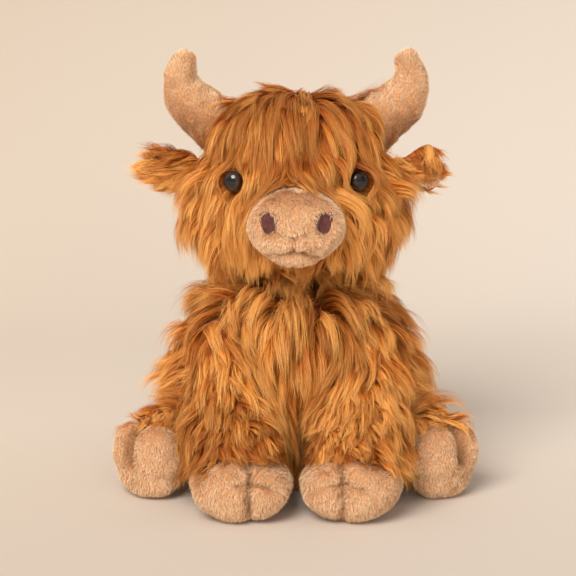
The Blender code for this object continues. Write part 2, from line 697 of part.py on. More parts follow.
def leg_stations(root, ankle, radius, pile):
    rows = []
    for length, size, depth in LEG_SHARES:
        half = radius * size + (SEAM_PILE + (LONG_PILE * pile - SEAM_PILE) * depth if pile else 0)
        rows.append((*root.lerp(ankle, length), half, half, half))
    return rows


# A sleeve of fur over stuffing, sewn to the torso by a ball and to its hoof round the ankle
def leg(kind, label, root, ankle, radius, pile, across, hoof, tools):
    line = (ankle - root).normalized()
    cover_stations = leg_stations(root, ankle, radius, pile)
    core_stations = leg_stations(root, ankle, radius, 0)
    cover = form(f"{kind}_leg_cover_{label}", cover_stations, across, radius + SEAM_PILE,
                 LEG_END_CAP + LONG_PILE, steps=1, colour=GINGER)
    core = form(f"{kind}_leg_stuffing_{label}", core_stations, across, radius, LEG_END_CAP, 0, CORE_SIDES,
                1, 2, colour=FILL)
    core_skin = form(f"cut_{kind}_leg_core_{label}", core_stations, across, radius, LEG_END_CAP, GAP,
                     CORE_SIDES, 1, 2)
    opening = rod(f"cut_{kind}_leg_opening_{label}", root - line * radius / 2,
                  root - line * (radius + SEAM_PILE + OVERRUN), LEG_OPENING, SMALL_SIDES)
    sleeve_skin = form(f"cut_{kind}_leg_sleeve_{label}", cover_stations, across, radius + SEAM_PILE,
                       LEG_END_CAP + LONG_PILE, GAP, steps=1)
    hoof_pieces, hoof_hollow = hoof.pieces(kind, core_skin, sleeve_skin)
    cut(cover, core_skin, hoof.form(f"cut_{kind}_hoof", GAP, HOOF_SIDES), opening, floor, *tools)
    cut(core, hoof_hollow, *tools)
    socket = socket_for(f"cut_{kind}_leg_socket_{label}", root, radius + SEAM_PILE, LEG_SEAM_GAP)
    cut(body_cover, socket)
    cut(body_stuffing, socket)
    return [cover, core] + hoof_pieces, socket


front_legs = {}
rear_legs = {}
for side_name, side in SIDES:
    shoulder = shoulders[side_name]
    ankle = ankles[side_name]
    own_ball = socket_for(f"cut_shoulder_ball_{side_name}", shoulder, LEG_RADIUS + SEAM_PILE, GAP, BALL_SIDES)
    tools = [cut(torso_form(f"cut_front_leg_{side_name}", GAP, TORSO_SIDES), own_ball)]
    hoof = Hoof(side_name, Vector((side * FRONT_HOOF_OUT, -FRONT_HOOF_FORWARD, HOOF_HALF_HEIGHT - FLOOR_CUT)),
                AHEAD, WIDE, HOOF_HALF_WIDTH, HOOF_HALF_HEIGHT, HOOF_HALF_LENGTH)
    pieces, socket = leg("front", side_name, shoulder, ankle, LEG_RADIUS, 1, WIDE, hoof, tools)
    front_legs[side_name] = (shoulder, pieces)
    sleeve = form(f"cut_front_sleeve_{side_name}", leg_stations(shoulder, ankle, LEG_RADIUS, 1), WIDE,
                  LEG_RADIUS + SEAM_PILE, LEG_END_CAP + LONG_PILE, SLEEVE_CLEARANCE, steps=1)

    hip = hips[side_name]
    out = Vector((side * sin(REAR_LEG_TURN), -cos(REAR_LEG_TURN), 0))
    own_ball = socket_for(f"cut_hip_ball_{side_name}", hip, REAR_LEG_RADIUS + SEAM_PILE, GAP, BALL_SIDES)
    exit_point, exit_normal = surface_point(torso_skin, hip, out)
    swing_back = Matrix.Rotation(-side * REAR_SWING, 3, UP)
    plane = behind(f"cut_rear_swing_{side_name}", hip + swing_back @ (exit_point - hip),
                   swing_back @ exit_normal)
    tools = [cut(join(torso_form(f"cut_rear_leg_{side_name}", GAP, TORSO_SIDES), plane), own_ball), sleeve]
    centre = hip + out * REAR_HOOF_REACH
    centre.z = REAR_HOOF_HALF_LENGTH - FLOOR_CUT
    hoof = Hoof(side_name, centre, UP, out.cross(UP), REAR_HOOF_HALF_WIDTH, REAR_HOOF_HALF_HEIGHT,
                REAR_HOOF_HALF_LENGTH)
    pieces, socket = leg("rear", side_name, hip, hip + out * REAR_LEG_LENGTH, REAR_LEG_RADIUS,
                         REAR_PILE_SHARE, UP.cross(out), hoof, tools)
    cut(seat_bean_bag, socket)
    rear_legs[side_name] = (hip, pieces)

# Tail: a cord on a ball, then a tuft
tail_stations = []
for back, down in TAIL_SHARES:
    spot = tail_root + Vector((0, TAIL_DROP * back, -TAIL_DROP * down))
    radius = TAIL_CORD_RADIUS if back else TAIL_BALL
    tail_stations.append((*spot, radius, radius, radius))
tail_cord = form("tail_cord", tail_stations, WIDE, TAIL_BALL, TAIL_CORD_RADIUS, sides=SMALL_SIDES,
                 colour=GINGER)
tuft_top = Vector(tail_stations[3][:3])
tuft_end = Vector(tail_stations[4][:3])
tuft_stations = [(*tuft_top.lerp(tuft_end, length), *[TAIL_TUFT_RADIUS * size] * 3)
                 for length, size in TUFT_SHARES]
tail_tuft = form("tail_tuft", tuft_stations, WIDE, TAIL_CORD_RADIUS, TAIL_TIP_CAP, sides=SMALL_SIDES + 2,
                 colour=RUST)
cut(tail_tuft, form("cut_tail_cord", tail_stations, WIDE, TAIL_BALL, TAIL_CORD_RADIUS, GAP, SMALL_SIDES))
tail_socket = socket_for("cut_tail_socket", tail_root, TAIL_BALL)
cut(body_cover, tail_socket)

cut(body_cover, torso_hollow, neck_hole, floor)

# Each moving piece hangs on an empty at its joint
seat_on("neck_joint", neck, [head_cover, head_stuffing, muzzle_cover, muzzle_stuffing, mouth_stitch]
        + nostril_patches + horn_pieces + eye_pieces)
for side_name, side in SIDES:
    seat_on(f"ear_joint_{side_name}", *ears[side_name])
    seat_on(f"shoulder_joint_{side_name}", *front_legs[side_name])
    seat_on(f"hip_joint_{side_name}", *rear_legs[side_name])
seat_on("tail_joint", tail_root, [tail_cord, tail_tuft])
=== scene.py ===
import math

import bpy
import numpy as np
from mathutils import Matrix, Vector
from mathutils.bvhtree import BVHTree
from mathutils.kdtree import KDTree


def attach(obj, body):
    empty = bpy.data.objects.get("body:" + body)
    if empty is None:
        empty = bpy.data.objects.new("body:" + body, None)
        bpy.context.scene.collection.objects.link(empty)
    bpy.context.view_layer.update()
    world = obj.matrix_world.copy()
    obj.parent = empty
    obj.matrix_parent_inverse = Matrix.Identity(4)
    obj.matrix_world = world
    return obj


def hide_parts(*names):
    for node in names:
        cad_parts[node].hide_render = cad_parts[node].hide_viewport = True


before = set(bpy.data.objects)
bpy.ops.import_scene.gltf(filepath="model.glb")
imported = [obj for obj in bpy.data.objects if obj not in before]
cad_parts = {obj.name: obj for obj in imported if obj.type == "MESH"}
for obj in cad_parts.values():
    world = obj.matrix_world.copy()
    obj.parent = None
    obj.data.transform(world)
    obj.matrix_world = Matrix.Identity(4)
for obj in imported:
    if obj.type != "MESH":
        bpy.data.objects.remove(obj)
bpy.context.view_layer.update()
print("frame loaded")

mm = 0.001
sides = (("left", 1), ("right", -1))
down = np.array((0.0, 0.0, -1.0))
up = np.array((0, 0, 1.0))
ahead = np.array((0, -1.0, 0))
wide = np.array((1.0, 0, 0))


# Small vector and noise tools
def unit(v):
    return v / np.maximum(np.linalg.norm(v, axis=-1, keepdims=True), 1e-12)


def dot(a, b):
    return np.sum(a * b, axis=-1, keepdims=True)


def ease(low, high, x):
    t = np.clip((x - low) / (high - low), 0, 1)
    return t * t * (3 - 2 * t)


# How far points are on the way between two places on an axis in mm, 0 to 1. On the side axis, the places are
# distances from the middle
def past(p, axis, low, high):
    x = np.abs(p[:, 0]) if axis == "side" else p[:, "xyz".index(axis)]
    return ease(low * mm, high * mm, x)


def treeOf(points):
    tree = KDTree(len(points))
    for i, p in enumerate(points):
        tree.insert(p, i)
    tree.balance()
    return tree


def nearestOf(tree, points):
    return np.array([tree.find(p)[1] for p in points])


# Smooth noise from waves in random directions, about -1 to 1
def ripple(points, size, seed, waves=7):
    rng = np.random.default_rng(seed)
    total = np.zeros(points.shape[:-1])
    for _ in range(waves):
        direction = unit(rng.normal(size=3)) * 2 * math.pi / size * rng.uniform(0.6, 1.6)
        total += np.sin(points @ direction + rng.uniform(0, 2 * math.pi))
    return total / waves * 1.9


def rippleVector(points, size, seed):
    return np.stack([ripple(points, size, seed + k) for k in range(3)], axis=-1)


def spline(rows, steps):
    rows = np.array(rows, float)
    ends = np.vstack([2 * rows[0] - rows[1], rows, 2 * rows[-1] - rows[-2]])
    out = []
    for i in range(1, len(ends) - 2):
        a, b, c, d = ends[i - 1:i + 3]
        for k in range(steps):
            t = k / steps
            out.append(b + (c - a) * t / 2 + (2 * a - 5 * b + 4 * c - d) * t ** 2 / 2
                       + (3 * b - a - 3 * c + d) * t ** 3 / 2)
    out.append(rows[-1])
    return np.array(out)


class Skin:
    def __init__(self, points, faces):
        self.points = np.array(points, float)
        self.faces = faces
        self.measure()

    def measure(self):
        triangles = [(f[0], f[i], f[i + 1]) for f in self.faces for i in range(1, len(f) - 1)]
        self.triangles = np.array(triangles)
        a, b, c = (self.points[self.triangles[:, k]] for k in range(3))
        cross = np.cross(b - a, c - a)
        self.areas = np.linalg.norm(cross, axis=1) / 2
        normals = np.zeros_like(self.points)
        for k in range(3):
            np.add.at(normals, self.triangles[:, k], cross)
        self.normals = unit(normals)
        self.plant()

    def plant(self):
        self.tree = treeOf(self.points)

    # Moves the surface along its normals by a field of places
    def push(self, field):
        self.points = self.points + self.normals * field(self.points)[:, None]
        self.measure()

    def move(self, field):
        self.points = self.points + field(self.points)
        self.measure()

    def nearest(self, points):
        return nearestOf(self.tree, points)

    # Height over the surface, below zero inside it
    def height(self, points):
        i = self.nearest(points)
        return np.sum((points - self.points[i]) * self.normals[i], axis=-1)

    def scatter(self, density, rng, wanted=None):
        count = int(self.areas.sum() * density)
        pick = rng.choice(len(self.areas), count, p=self.areas / self.areas.sum())
        u, v = rng.random((2, count, 1))
        u, v = np.where(u + v > 1, 1 - u, u), np.where(u + v > 1, 1 - v, v)
        corners = self.triangles[pick]
        weights = (1 - u - v, u, v)
        spots = sum(w * self.points[corners[:, k]] for k, w in enumerate(weights))
        normals = unit(sum(w * self.normals[corners[:, k]] for k, w in enumerate(weights)))
        if wanted is not None:
            kept = wanted(spots)
            if kept.dtype != bool:
                kept = rng.random(count) < kept
            spots, normals = spots[kept], normals[kept]
        return spots, normals


# Several skins as one surface for locks to lie on, without what is inside another of them
class Ground(Skin):
    def __init__(self, *skins):
        points, normals = [], []
        for skin in skins:
            kept = np.ones(len(skin.points), bool)
            for other in skins:
                if other is not skin:
                    kept &= other.height(skin.points) > -2 * mm
            points.append(skin.points[kept])
            normals.append(skin.normals[kept])
        self.points = np.vstack(points)
        self.normals = np.vstack(normals)
        self.plant()
        self.normals = unit(np.array([np.mean([self.normals[hit[1]] for hit in self.tree.find_n(p, 16)], axis=0)
                                      for p in self.points]))


# Faces between rings of points, from the point of that number on
def bands(rings, around, start=0):
    faces = []
    for first in range(start, start + (rings - 1) * around, around):
        for k in range(around):
            j = (k + 1) % around
            faces.append((first + k, first + j, first + around + j, first + around + k))
    return faces


# A stuffed form, from stations of centre and half sizes: each way across, ahead and behind
def form(stations, across, firstCap, lastCap, grow=0.0, around=56, steps=7, capSteps=9, firstPower=2.0,
         lastPower=2.0):
    rows = spline(stations, steps)
    centres = rows[:, :3]
    last = len(rows) - 1
    number = np.arange(last + 1)
    along = unit(centres[np.minimum(number + 1, last)] - centres[np.maximum(number - 1, 0)])
    angles = 2 * math.pi * (np.arange(around) + 0.5) / around
    rings = []

    def ring(i, reach, scale):
        side = unit(across - along[i] * (across @ along[i]))
        face = np.cross(along[i], side)
        halfSide, halfFace, halfBack = rows[i, 3:6] + grow
        depth = np.where(np.cos(angles) > 0, halfFace, halfBack)
        outline = np.outer(np.sin(angles) * halfSide, side) + np.outer(np.cos(angles) * depth, face)
        rings.append(centres[i] + along[i] * reach + outline * scale)

    for k in range(capSteps - 1, 0, -1):
        t = math.sin(math.pi / 2 * k / capSteps)
        ring(0, -(firstCap + grow) * t, (1 - t ** firstPower) ** (1 / firstPower))
    for i in range(last + 1):
        ring(i, 0, 1)
    for k in range(1, capSteps):
        t = math.sin(math.pi / 2 * k / capSteps)
        ring(last, (lastCap + grow) * t, (1 - t ** lastPower) ** (1 / lastPower))
    ends = (centres[0] - along[0] * (firstCap + grow), centres[-1] + along[-1] * (lastCap + grow))
    points = np.vstack([*rings, *ends])
    faces = bands(len(rings), around)
    low = len(rings) * around
    for k in range(around):
        j = (k + 1) % around
        faces.append((j, k, low))
        faces.append((low - around + k, low - around + j, low + 1))
    skin = Skin(points, faces)
    middle = points.mean(0)
    if np.sum((skin.points - middle) * skin.normals) < 0:
        skin = Skin(points, [f[::-1] for f in faces])
    return skin


def place(mesh, material):
    mesh.shade_smooth()
    mesh.materials.append(material)
    thing = bpy.data.objects.new(mesh.name, mesh)
    bpy.context.scene.collection.objects.link(thing)
    return thing


def make(name, points, faces, material):
    mesh = bpy.data.meshes.new(name)
    mesh.from_pydata(points, [], faces)
    return place(mesh, material)


# Puts a piece on its body, instead of solids of the frame
def settle(piece, body, nodes):
    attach(piece, body)
    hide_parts(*nodes)


def dress(name, skin, material, body, nodes):
    faces = [tuple(map(int, f)) for f in skin.faces]
    settle(make(name, skin.points.tolist(), faces, material), body, nodes)


# Shader building
class Wire:
    def __init__(self, graph, socket):
        self.graph = graph
        self.socket = socket

    def math(self, operation, *others):
        return self.graph.node("ShaderNodeMath", {"operation": operation}, 0, self, *others)

    def __add__(self, other):
        return self.math("ADD", other)

    __radd__ = __add__

    def __sub__(self, other):
        return self.math("SUBTRACT", other)

    def __rsub__(self, other):
        return (self * -1) + other

    def __mul__(self, other):
        return self.math("MULTIPLY", other)

    __rmul__ = __mul__

    def __pow__(self, other):
        return self.math("POWER", other)

    def fit(self, low, high, newLow=0.0, newHigh=1.0):
        return self.graph.node("ShaderNodeMapRange", {"clamp": True}, 0, self, low, high, newLow, newHigh)


class Graph:
    def __init__(self, name, **plain):
        self.material = bpy.data.materials.new(name)
        self.material.use_nodes = True
        self.tree = self.material.node_tree
        self.shader = self.tree.nodes["Principled BSDF"]
        for socket, value in plain.items():
            self.shader.inputs[socket.replace("_", " ")].default_value = value

    # Adds a node: its settings first, then its inputs by number or name. Gives the output of that number.
    def node(self, kind, settings, output, *inputs, **named):
        made = self.tree.nodes.new(kind)
        for key, value in settings.items():
            setattr(made, key, value)
        for key, value in list(enumerate(inputs)) + list(named.items()):
            if isinstance(value, Wire):
                self.tree.links.new(value.socket, made.inputs[key])
            elif value is not None:
                made.inputs[key].default_value = value
        return Wire(self, made.outputs[output])

    # Its colour sockets are numbers 6 and 7
    def mix(self, factor, one, other, blend="MIX"):
        one, other = (value if isinstance(value, Wire) else (*value, 1) for value in (one, other))
        settings = {"data_type": "RGBA", "blend_type": blend}
        return self.node("ShaderNodeMix", settings, 2, factor, *[None] * 5, one, other)

    def axes(self, vector):
        split = self.node("ShaderNodeSeparateXYZ", {}, 0, vector)
        return [Wire(self, output) for output in split.socket.node.outputs]

    def place(self):
        return self.node("ShaderNodeTexCoord", {}, "Object")

    def noise(self, scale, detail=3.0, rough=0.55):
        return self.node("ShaderNodeTexNoise", {}, 0, Vector=self.place(), Scale=scale, Detail=detail,
                         Roughness=rough)

    def link(self, socket, wire):
        self.tree.links.new(wire.socket, self.shader.inputs[socket])

    def bump(self, height, strength, distance):
        bump = self.node("ShaderNodeBump", {}, 0, Strength=strength, Distance=distance, Height=height)
        self.link("Normal", bump)


# Strand material: its colour depends on the map alone, u for the strand's tone and v from root to tip
def strandMaterial(name, root, middle, tip, variation, sheen, rough=0.55):
    g = Graph(name, Sheen_Weight=sheen, Sheen_Roughness=0.4, Specular_IOR_Level=0.3)
    g.shader.inputs["Sheen Tint"].default_value = (*tip, 1)
    u, v, _ = g.axes(g.node("ShaderNodeUVMap", {"uv_map": "OFBake"}, 0))
    low = g.mix(v.fit(0.0, 0.55), root, middle)
    along = g.mix(v.fit(0.45, 1.0), low, tip)
    dark = g.mix(u.fit(0.0, 0.5), [(1 - variation) ** power for power in (0.8, 1.25, 1.7)], (1, 1, 1))
    shaded = g.mix(1.0, along, dark, "MULTIPLY")
    light = g.mix(u.fit(0.5, 1.0, 0.0, variation), shaded, tip)
    g.link("Base Color", light)
    g.link("Roughness", v.fit(0.0, 1.0, rough + 0.2, rough))
    return g.material


# Turns strands into ribbon meshes. paths is strands by points by 3, across the half-width vectors
def ribbons(name, paths, across, tone, material, body, most=190000):
    count, points = paths.shape[:2]
    steps = points - 1
    each = max(1, int(most / (2 * steps - 1)))
    for number, first in enumerate(range(0, count, each)):
        p, a, t = paths[first:first + each], across[first:first + each], tone[first:first + each]
        n = len(p)
        verts = np.empty((n, 2 * steps + 1, 3), np.float32)
        verts[:, 0:2 * steps:2] = p[:, :steps] - a[:, :steps]
        verts[:, 1:2 * steps:2] = p[:, :steps] + a[:, :steps]
        verts[:, 2 * steps] = p[:, steps]
        base = (np.arange(n) * (2 * steps + 1))[:, None]
        loop = []
        uvs = []
        for k in range(steps - 1):
            loop.append(np.array([2 * k, 2 * k + 1, 2 * k + 3, 2 * k + 2]))
            uvs.append([(0, k), (1, k), (1, k + 1), (0, k + 1)])
        loop.append(np.array([2 * steps - 2, 2 * steps - 1, 2 * steps]))
        uvs.append([(0, steps - 1), (1, steps - 1), (0.5, steps)])
        corners = base + np.concatenate(loop)[None]
        flat = np.array([c for group in uvs for c in group], float)
        column = np.floor(np.clip(t, 0, 0.9999) * 64)
        u = (column[:, None] + 0.2 + 0.6 * flat[None, :, 0]) / 64
        v = np.broadcast_to(0.02 + 0.96 * flat[None, :, 1] / steps, u.shape)
        mesh = bpy.data.meshes.new(f"{name}_{number + 1}")
        mesh.vertices.add(n * (2 * steps + 1))
        mesh.vertices.foreach_set("co", verts.ravel())
        mesh.loops.add(corners.size)
        mesh.loops.foreach_set("vertex_index", corners.astype(np.int32).ravel())
        sizes = np.tile([4] * (steps - 1) + [3], n)
        starts = np.concatenate([[0], np.cumsum(sizes)[:-1]])
        mesh.polygons.add(len(sizes))
        mesh.polygons.foreach_set("loop_start", starts.astype(np.int32))
        layer = mesh.uv_layers.new(name="OFBake")
        layer.data.foreach_set("uv", np.stack([u, v], axis=-1).astype(np.float32).ravel())
        mesh.update(calc_edges=True)
        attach(place(mesh, material), body)


# Ellipsoids that strands go round: centre, radii and turn about Z
class Blob:
    def __init__(self, centre, radii, turn=0.0):
        self.centre = np.array(centre, float)
        self.radii = np.array(radii, float)
        c, s = math.cos(turn), math.sin(turn)
        self.frame = np.array(((c, -s, 0), (s, c, 0), (0, 0, 1)))

    def inside(self, points):
        q = (points - self.centre) @ self.frame / self.radii
        return np.linalg.norm(q, axis=-1)

    def clear(self, points):
        q = (points - self.centre) @ self.frame / self.radii
        r = np.linalg.norm(q, axis=-1, keepdims=True)
        out = (q / np.maximum(r, 1e-6) * self.radii) @ self.frame.T + self.centre
        return np.where(r < 1, out, points)


def clearOf(blobs, points, least):
    return np.all([blob.inside(points) > least for blob in blobs], axis=0)


# Leaves out spots that are closer together than the spacing
def thin(spots, spacing, rng):
    order = rng.permutation(len(spots))
    cells = {}
    kept = []
    for i in order:
        p = spots[i]
        key = tuple(np.floor(p / spacing).astype(int))
        taken = False
        for dx in (-1, 0, 1):
            for dy in (-1, 0, 1):
                for dz in (-1, 0, 1):
                    for q in cells.get((key[0] + dx, key[1] + dy, key[2] + dz), ()):
                        if (q[0] - p[0]) ** 2 + (q[1] - p[1]) ** 2 + (q[2] - p[2]) ** 2 < spacing ** 2:
                            taken = True
        if not taken:
            cells.setdefault(key, []).append(p)
            kept.append(i)
    return np.array(kept)


eyeLine = unit(np.array((0, -1.0, 0.16)))  # Hair is parted round this line from each eye


def partHair(path, places, share):
    for centre, radius in places:
        away = path - centre
        depth = dot(away, eyeLine)[..., 0]
        away = away - depth[..., None] * eyeLine
        reach = radius * share[..., 0]
        weight = np.exp(-(away[..., 2] / reach) ** 2) * (depth > -8 * mm) + 1e-9
        side = np.where(np.sum(weight * away[..., 0], axis=1, keepdims=True) < 0, -1, 1)
        half = np.sqrt(np.clip(reach ** 2 - away[..., 2] ** 2, 0, None))
        inside = (np.abs(away[..., 0]) < half) & (depth > -8 * mm)
        path[..., 0] += np.where(inside, side * half - away[..., 0], 0)
    return path


# Grows a coat of long fur on a skin. Locks follow guides that are combed along flow(points, normals).
def coat(name, body, skin, flow, look, material, seed, wanted=None, length=None, loft=None, blobs=(), tint=None,
         clearEyes=(), ground=None, calm=None):
    ground = ground or skin
    rng = np.random.default_rng(seed)
    steps = look["steps"]
    spots, normals = skin.scatter(5 / look["spacing"] ** 2, rng, wanted)
    kept = thin(spots, look["spacing"], rng)
    spots, normals = spots[kept], normals[kept]
    count = len(spots)
    size = look["length"] * rng.uniform(1 - look["uneven"], 1 + look["uneven"], count)
    if length is not None:
        size = size * length(spots)
    stepLength = (size / steps)[:, None]
    low = loft(spots)[:, None] if loft is not None else 1.0
    lift = math.radians(look["lift"]) * rng.uniform(0.75, 1.25, (count, 1)) * low
    bold = 1 + 0.8 * (rng.random((count, 1)) < look["bold"])
    lift = lift * bold
    wild = 1 - calm(spots)[:, None] if calm is not None else np.ones((count, 1))
    stray = rng.normal(size=(count, 3)) * wild
    tangent = flow(spots, normals) + stray * look["mess"]
    tangent = unit(tangent - dot(tangent, normals) * normals)
    heading = unit(tangent * np.cos(lift) + normals * np.sin(lift))
    target = look["height"] * rng.uniform(0.5, 1.5, (count, 1)) * low * bold
    guides = [spots]
    surface = [normals]
    for k in range(steps):
        t = (k + 0.5) / steps
        i = ground.nearest(guides[-1])
        n = ground.normals[i]
        h = dot(guides[-1] - ground.points[i], n)
        way = flow(guides[-1], n) + stray * look["mess"] * (1 - 0.5 * t)
        way = unit(way - dot(way, n) * n)
        hang = look["hang"] * ease(0.1, 0.8, t) * (0.5 - 0.5 * n[:, 2:] + 0.35 * (1 - np.abs(n[:, 2:])))
        rise = np.clip((target - h) / look["height"], -look["cling"], 1.2) * 0.55
        want = unit(way * (1 - hang) + down * hang + n * rise)
        turn = 0.25 + 0.45 * t
        heading = unit(heading * (1 - turn) + want * turn)
        guides.append(guides[-1] + heading * stepLength)
        surface.append(n)
    guides = np.stack(guides, axis=1)
    surface = np.stack(surface, axis=1)
    along = unit(np.gradient(guides, axis=1))
    over = unit(surface - dot(surface, along) * along)
    beside = np.cross(along, over)
    t = np.linspace(0, 1, steps + 1)[None, :, None]
    phase = rng.uniform(0, 2 * math.pi, (count, 1, 1))
    turns = look["turns"] * rng.uniform(0.7, 1.3, (count, 1, 1))
    swing = look["wave"] * rng.uniform(0.3, 1.4, (count, 1, 1))
    swing = swing * (wild[:, 0] * size / look["length"])[:, None, None]
    wave = np.sin(2 * math.pi * turns * t + phase) - np.sin(phase)
    wave2 = np.cos(2 * math.pi * turns * t + phase) - np.cos(phase)
    guides = guides + (beside * wave + over * wave2 * 0.35) * swing * ease(0, 0.7, t)
    for blob in blobs:
        guides = blob.clear(guides)
    lockTone = np.clip(rng.normal(0.5, look["lockTone"], count), 0, 1)

    # Each strand joins the guide nearest its root
    roots = skin.scatter(look["density"], rng, wanted)[0]
    wisps = skin.scatter(1 / look["wisp"] ** 2, rng, wanted)[0]
    wispOwn = nearestOf(treeOf(spots), wisps + rng.normal(size=wisps.shape) * look["spacing"] * 0.2)
    n = len(roots)
    wisp = nearestOf(treeOf(wisps), roots + rng.normal(size=roots.shape) * look["wisp"] * 0.2)
    own = wispOwn[wisp]
    axes = (beside[own, 0], over[own, 0], along[own, 0])
    a, b, c = (np.sum((wisps[wisp] - spots[own]) * axis, axis=-1)[:, None] for axis in axes)
    a2, b2, c2 = (np.sum((roots - wisps[wisp]) * axis, axis=-1)[:, None] for axis in axes)
    share = rng.uniform(look["shortest"], 1.0, (n, 1)) ** 0.7 * rng.uniform(0.72, 1.0, (len(wisps), 1))[wisp]
    at = np.linspace(0, 1, steps + 1)[None, :] * share * steps
    low = np.minimum(np.floor(at).astype(int), steps - 1)
    part = (at - low)[..., None]

    def follow(field):
        return field[own[:, None], low] * (1 - part) + field[own[:, None], low + 1] * part

    path, besideAt, overAt, alongAt = (follow(f) for f in (guides, beside, over, along))
    s = at / steps
    free = wild[own]
    bound = np.minimum(free, 1)
    lockPull = 1 - look["clump"] * rng.uniform(0.7, 1.1, (len(wisps), 1))[wisp] * ease(0.1, 1.0, s) * bound
    wispPull = rng.uniform(0.7, 1.1, (n, 1)) * ease(0.0, 0.75, s) * (0.45 + 0.55 * bound)
    wispPull = 1 - look["wispClump"] * wispPull
    twist = look["twist"] * s * rng.uniform(0.2, 1.8, (len(wisps), 1))[wisp]
    ca, sa = np.cos(twist), np.sin(twist)
    side = (a * ca - b * sa) * lockPull + a2 * wispPull
    rise = (a * sa + b * ca) * lockPull + b2 * wispPull
    path = path + besideAt * side[..., None] + overAt * rise[..., None]
    path = path + alongAt * ((c + c2) * (1 - 0.7 * ease(0, 1, s)))[..., None]
    stray = rng.normal(size=(len(wisps), 3))[wisp] * look["wispStray"] * (0.4 + 0.6 * free)
    loose = rng.normal(size=(n, 3)) * look["frizz"] * (1 + 3 * (rng.random((n, 1)) < look["fly"])) + stray
    path = path + loose[:, None, :] * (s ** 1.6)[..., None]
    partShare = rng.uniform(0.95, 1.35, (n, 1, 1))
    curl = rng.uniform(0, 2 * math.pi, (n, 1))
    path = path + besideAt * (np.sin(s * 9 + curl) - np.sin(curl))[..., None] * look["frizz"] * 0.35
    curl = rng.uniform(0, 2 * math.pi, (len(wisps), 1))[wisp]
    bend = np.sin(s * rng.uniform(5, 10, (len(wisps), 1))[wisp] + curl) - np.sin(curl)
    path = path + besideAt * bend[..., None] * look["wispWave"] * ease(0, 0.5, s)[..., None]
    for _ in range(2):
        path = partHair(path, clearEyes, partShare)
        for blob in blobs:
            path = blob.clear(path)
        path[:, 1:-1] = path[:, 1:-1] * 0.6 + (path[:, :-2] + path[:, 2:]) * 0.2
    path = partHair(path, clearEyes, partShare)
    path[..., 2] = np.maximum(path[..., 2], 0.8 * mm)
    direction = unit(np.gradient(path, axis=1))
    radial = (besideAt * side[..., None] + overAt * rise[..., None]) / look["spacing"]
    facing = overAt + radial * 1.6 + rng.normal(size=(n, 1, 3)) * 0.28
    across = unit(np.cross(direction, facing))
    taper = 1 - np.linspace(0, 1, steps + 1)[None] ** 2.5
    width = look["width"] * rng.uniform(0.7, 1.3, (n, 1)) / 2 * (0.85 + 0.15 * s) * taper
    tone = lockTone[own] + rng.normal(0, look["strandTone"], len(wisps))[wisp]
    tone = tone + rng.normal(0, look["strandTone"], n)
    if tint is not None:
        tone = tone + tint(roots)
    ribbons(name, path, across * width[..., None], np.clip(tone, 0, 1), material, body)
    print(name, count, "locks", n, "strands")


# Short plush: fine fibres that lean with the nap
def nap(name, body, skin, flow, look, material, seed, wanted=None, tint=None):
    rng = np.random.default_rng(seed)
    roots, normals = skin.scatter(look["density"], rng, wanted)
    n = len(roots)
    way = flow(roots, normals) + rippleVector(roots, look["patch"], seed) * look["mess"]
    way = way + rng.normal(size=(n, 3)) * look["stray"]
    way = unit(way - dot(way, normals) * normals)
    lean = np.radians(look["lean"]) * rng.uniform(0.7, 1.25, (n, 1))
    size = (look["length"] * rng.uniform(0.65, 1.15, n))[:, None]
    first = unit(normals * np.cos(lean * 0.5) + way * np.sin(lean * 0.5))
    second = unit(normals * np.cos(lean * 1.4) + way * np.sin(lean * 1.4))
    path = np.stack([roots - normals * 0.2 * mm, roots + first * size * 0.45,
                     roots + first * size * 0.45 + second * size * 0.55], axis=1)
    tufts = skin.scatter(1 / look["tuft"] ** 2, rng)[0]
    own = nearestOf(treeOf(tufts), roots)
    path = path + (tufts[own] - roots)[:, None] * np.array((0, 0.2, 0.45))[None, :, None]
    shifts = (rng.normal(size=(len(tufts), 3)) * look["tuft"] * 0.2)[own]
    path = path + shifts[:, None] * np.array((0, 0.3, 1))[None, :, None]
    path[..., 2] = np.maximum(path[..., 2], 0.3 * mm)
    across = unit(np.cross(path[:, 2] - path[:, 0], normals + rng.normal(size=(n, 3)) * 0.4))[:, None]
    width = look["width"] * rng.uniform(0.7, 1.3, (n, 1, 1)) / 2 * np.array((1, 0.8, 0))[None, :, None]
    tone = 0.52 + ripple(roots, look["patch"], seed + 9) * 0.06 + rng.normal(0, 0.05, n)
    tone = tone + rng.normal(0, 0.03, len(tufts))[own]
    if tint is not None:
        tone = tone + tint(roots)
    ribbons(name, path, across * width, np.clip(tone, 0, 1), material, body)
    print(name, n, "fibres")


# Materials
longColours = {"root": (0.40, 0.090, 0.007), "middle": (0.82, 0.262, 0.027), "tip": (1.00, 0.57, 0.165),
               "variation": 0.5, "sheen": 0.06}
plushColours = {"root": (0.70, 0.33, 0.12), "middle": (0.92, 0.58, 0.31), "tip": (1.00, 0.80, 0.55),
                "variation": 0.45, "sheen": 0.25, "rough": 0.7}
darkColours = {"root": (0.16, 0.040, 0.004), "middle": (0.52, 0.155, 0.018), "tip": (0.80, 0.33, 0.06),
               "variation": 0.5, "sheen": 0.06}
longFur = strandMaterial("longFur", **longColours)
shortFur = strandMaterial("shortFur", **plushColours)
darkFur = strandMaterial("darkFur", **darkColours)


# The cloth under the pile
def backing(name, dark, light, scale):
    g = Graph(name, Roughness=0.9, Sheen_Weight=0.2)
    g.link("Base Color", g.mix(g.noise(scale).fit(0.3, 0.7), dark, light))
    g.bump(g.noise(scale * 3), 0.6, 0.6 * mm)
    return g.material


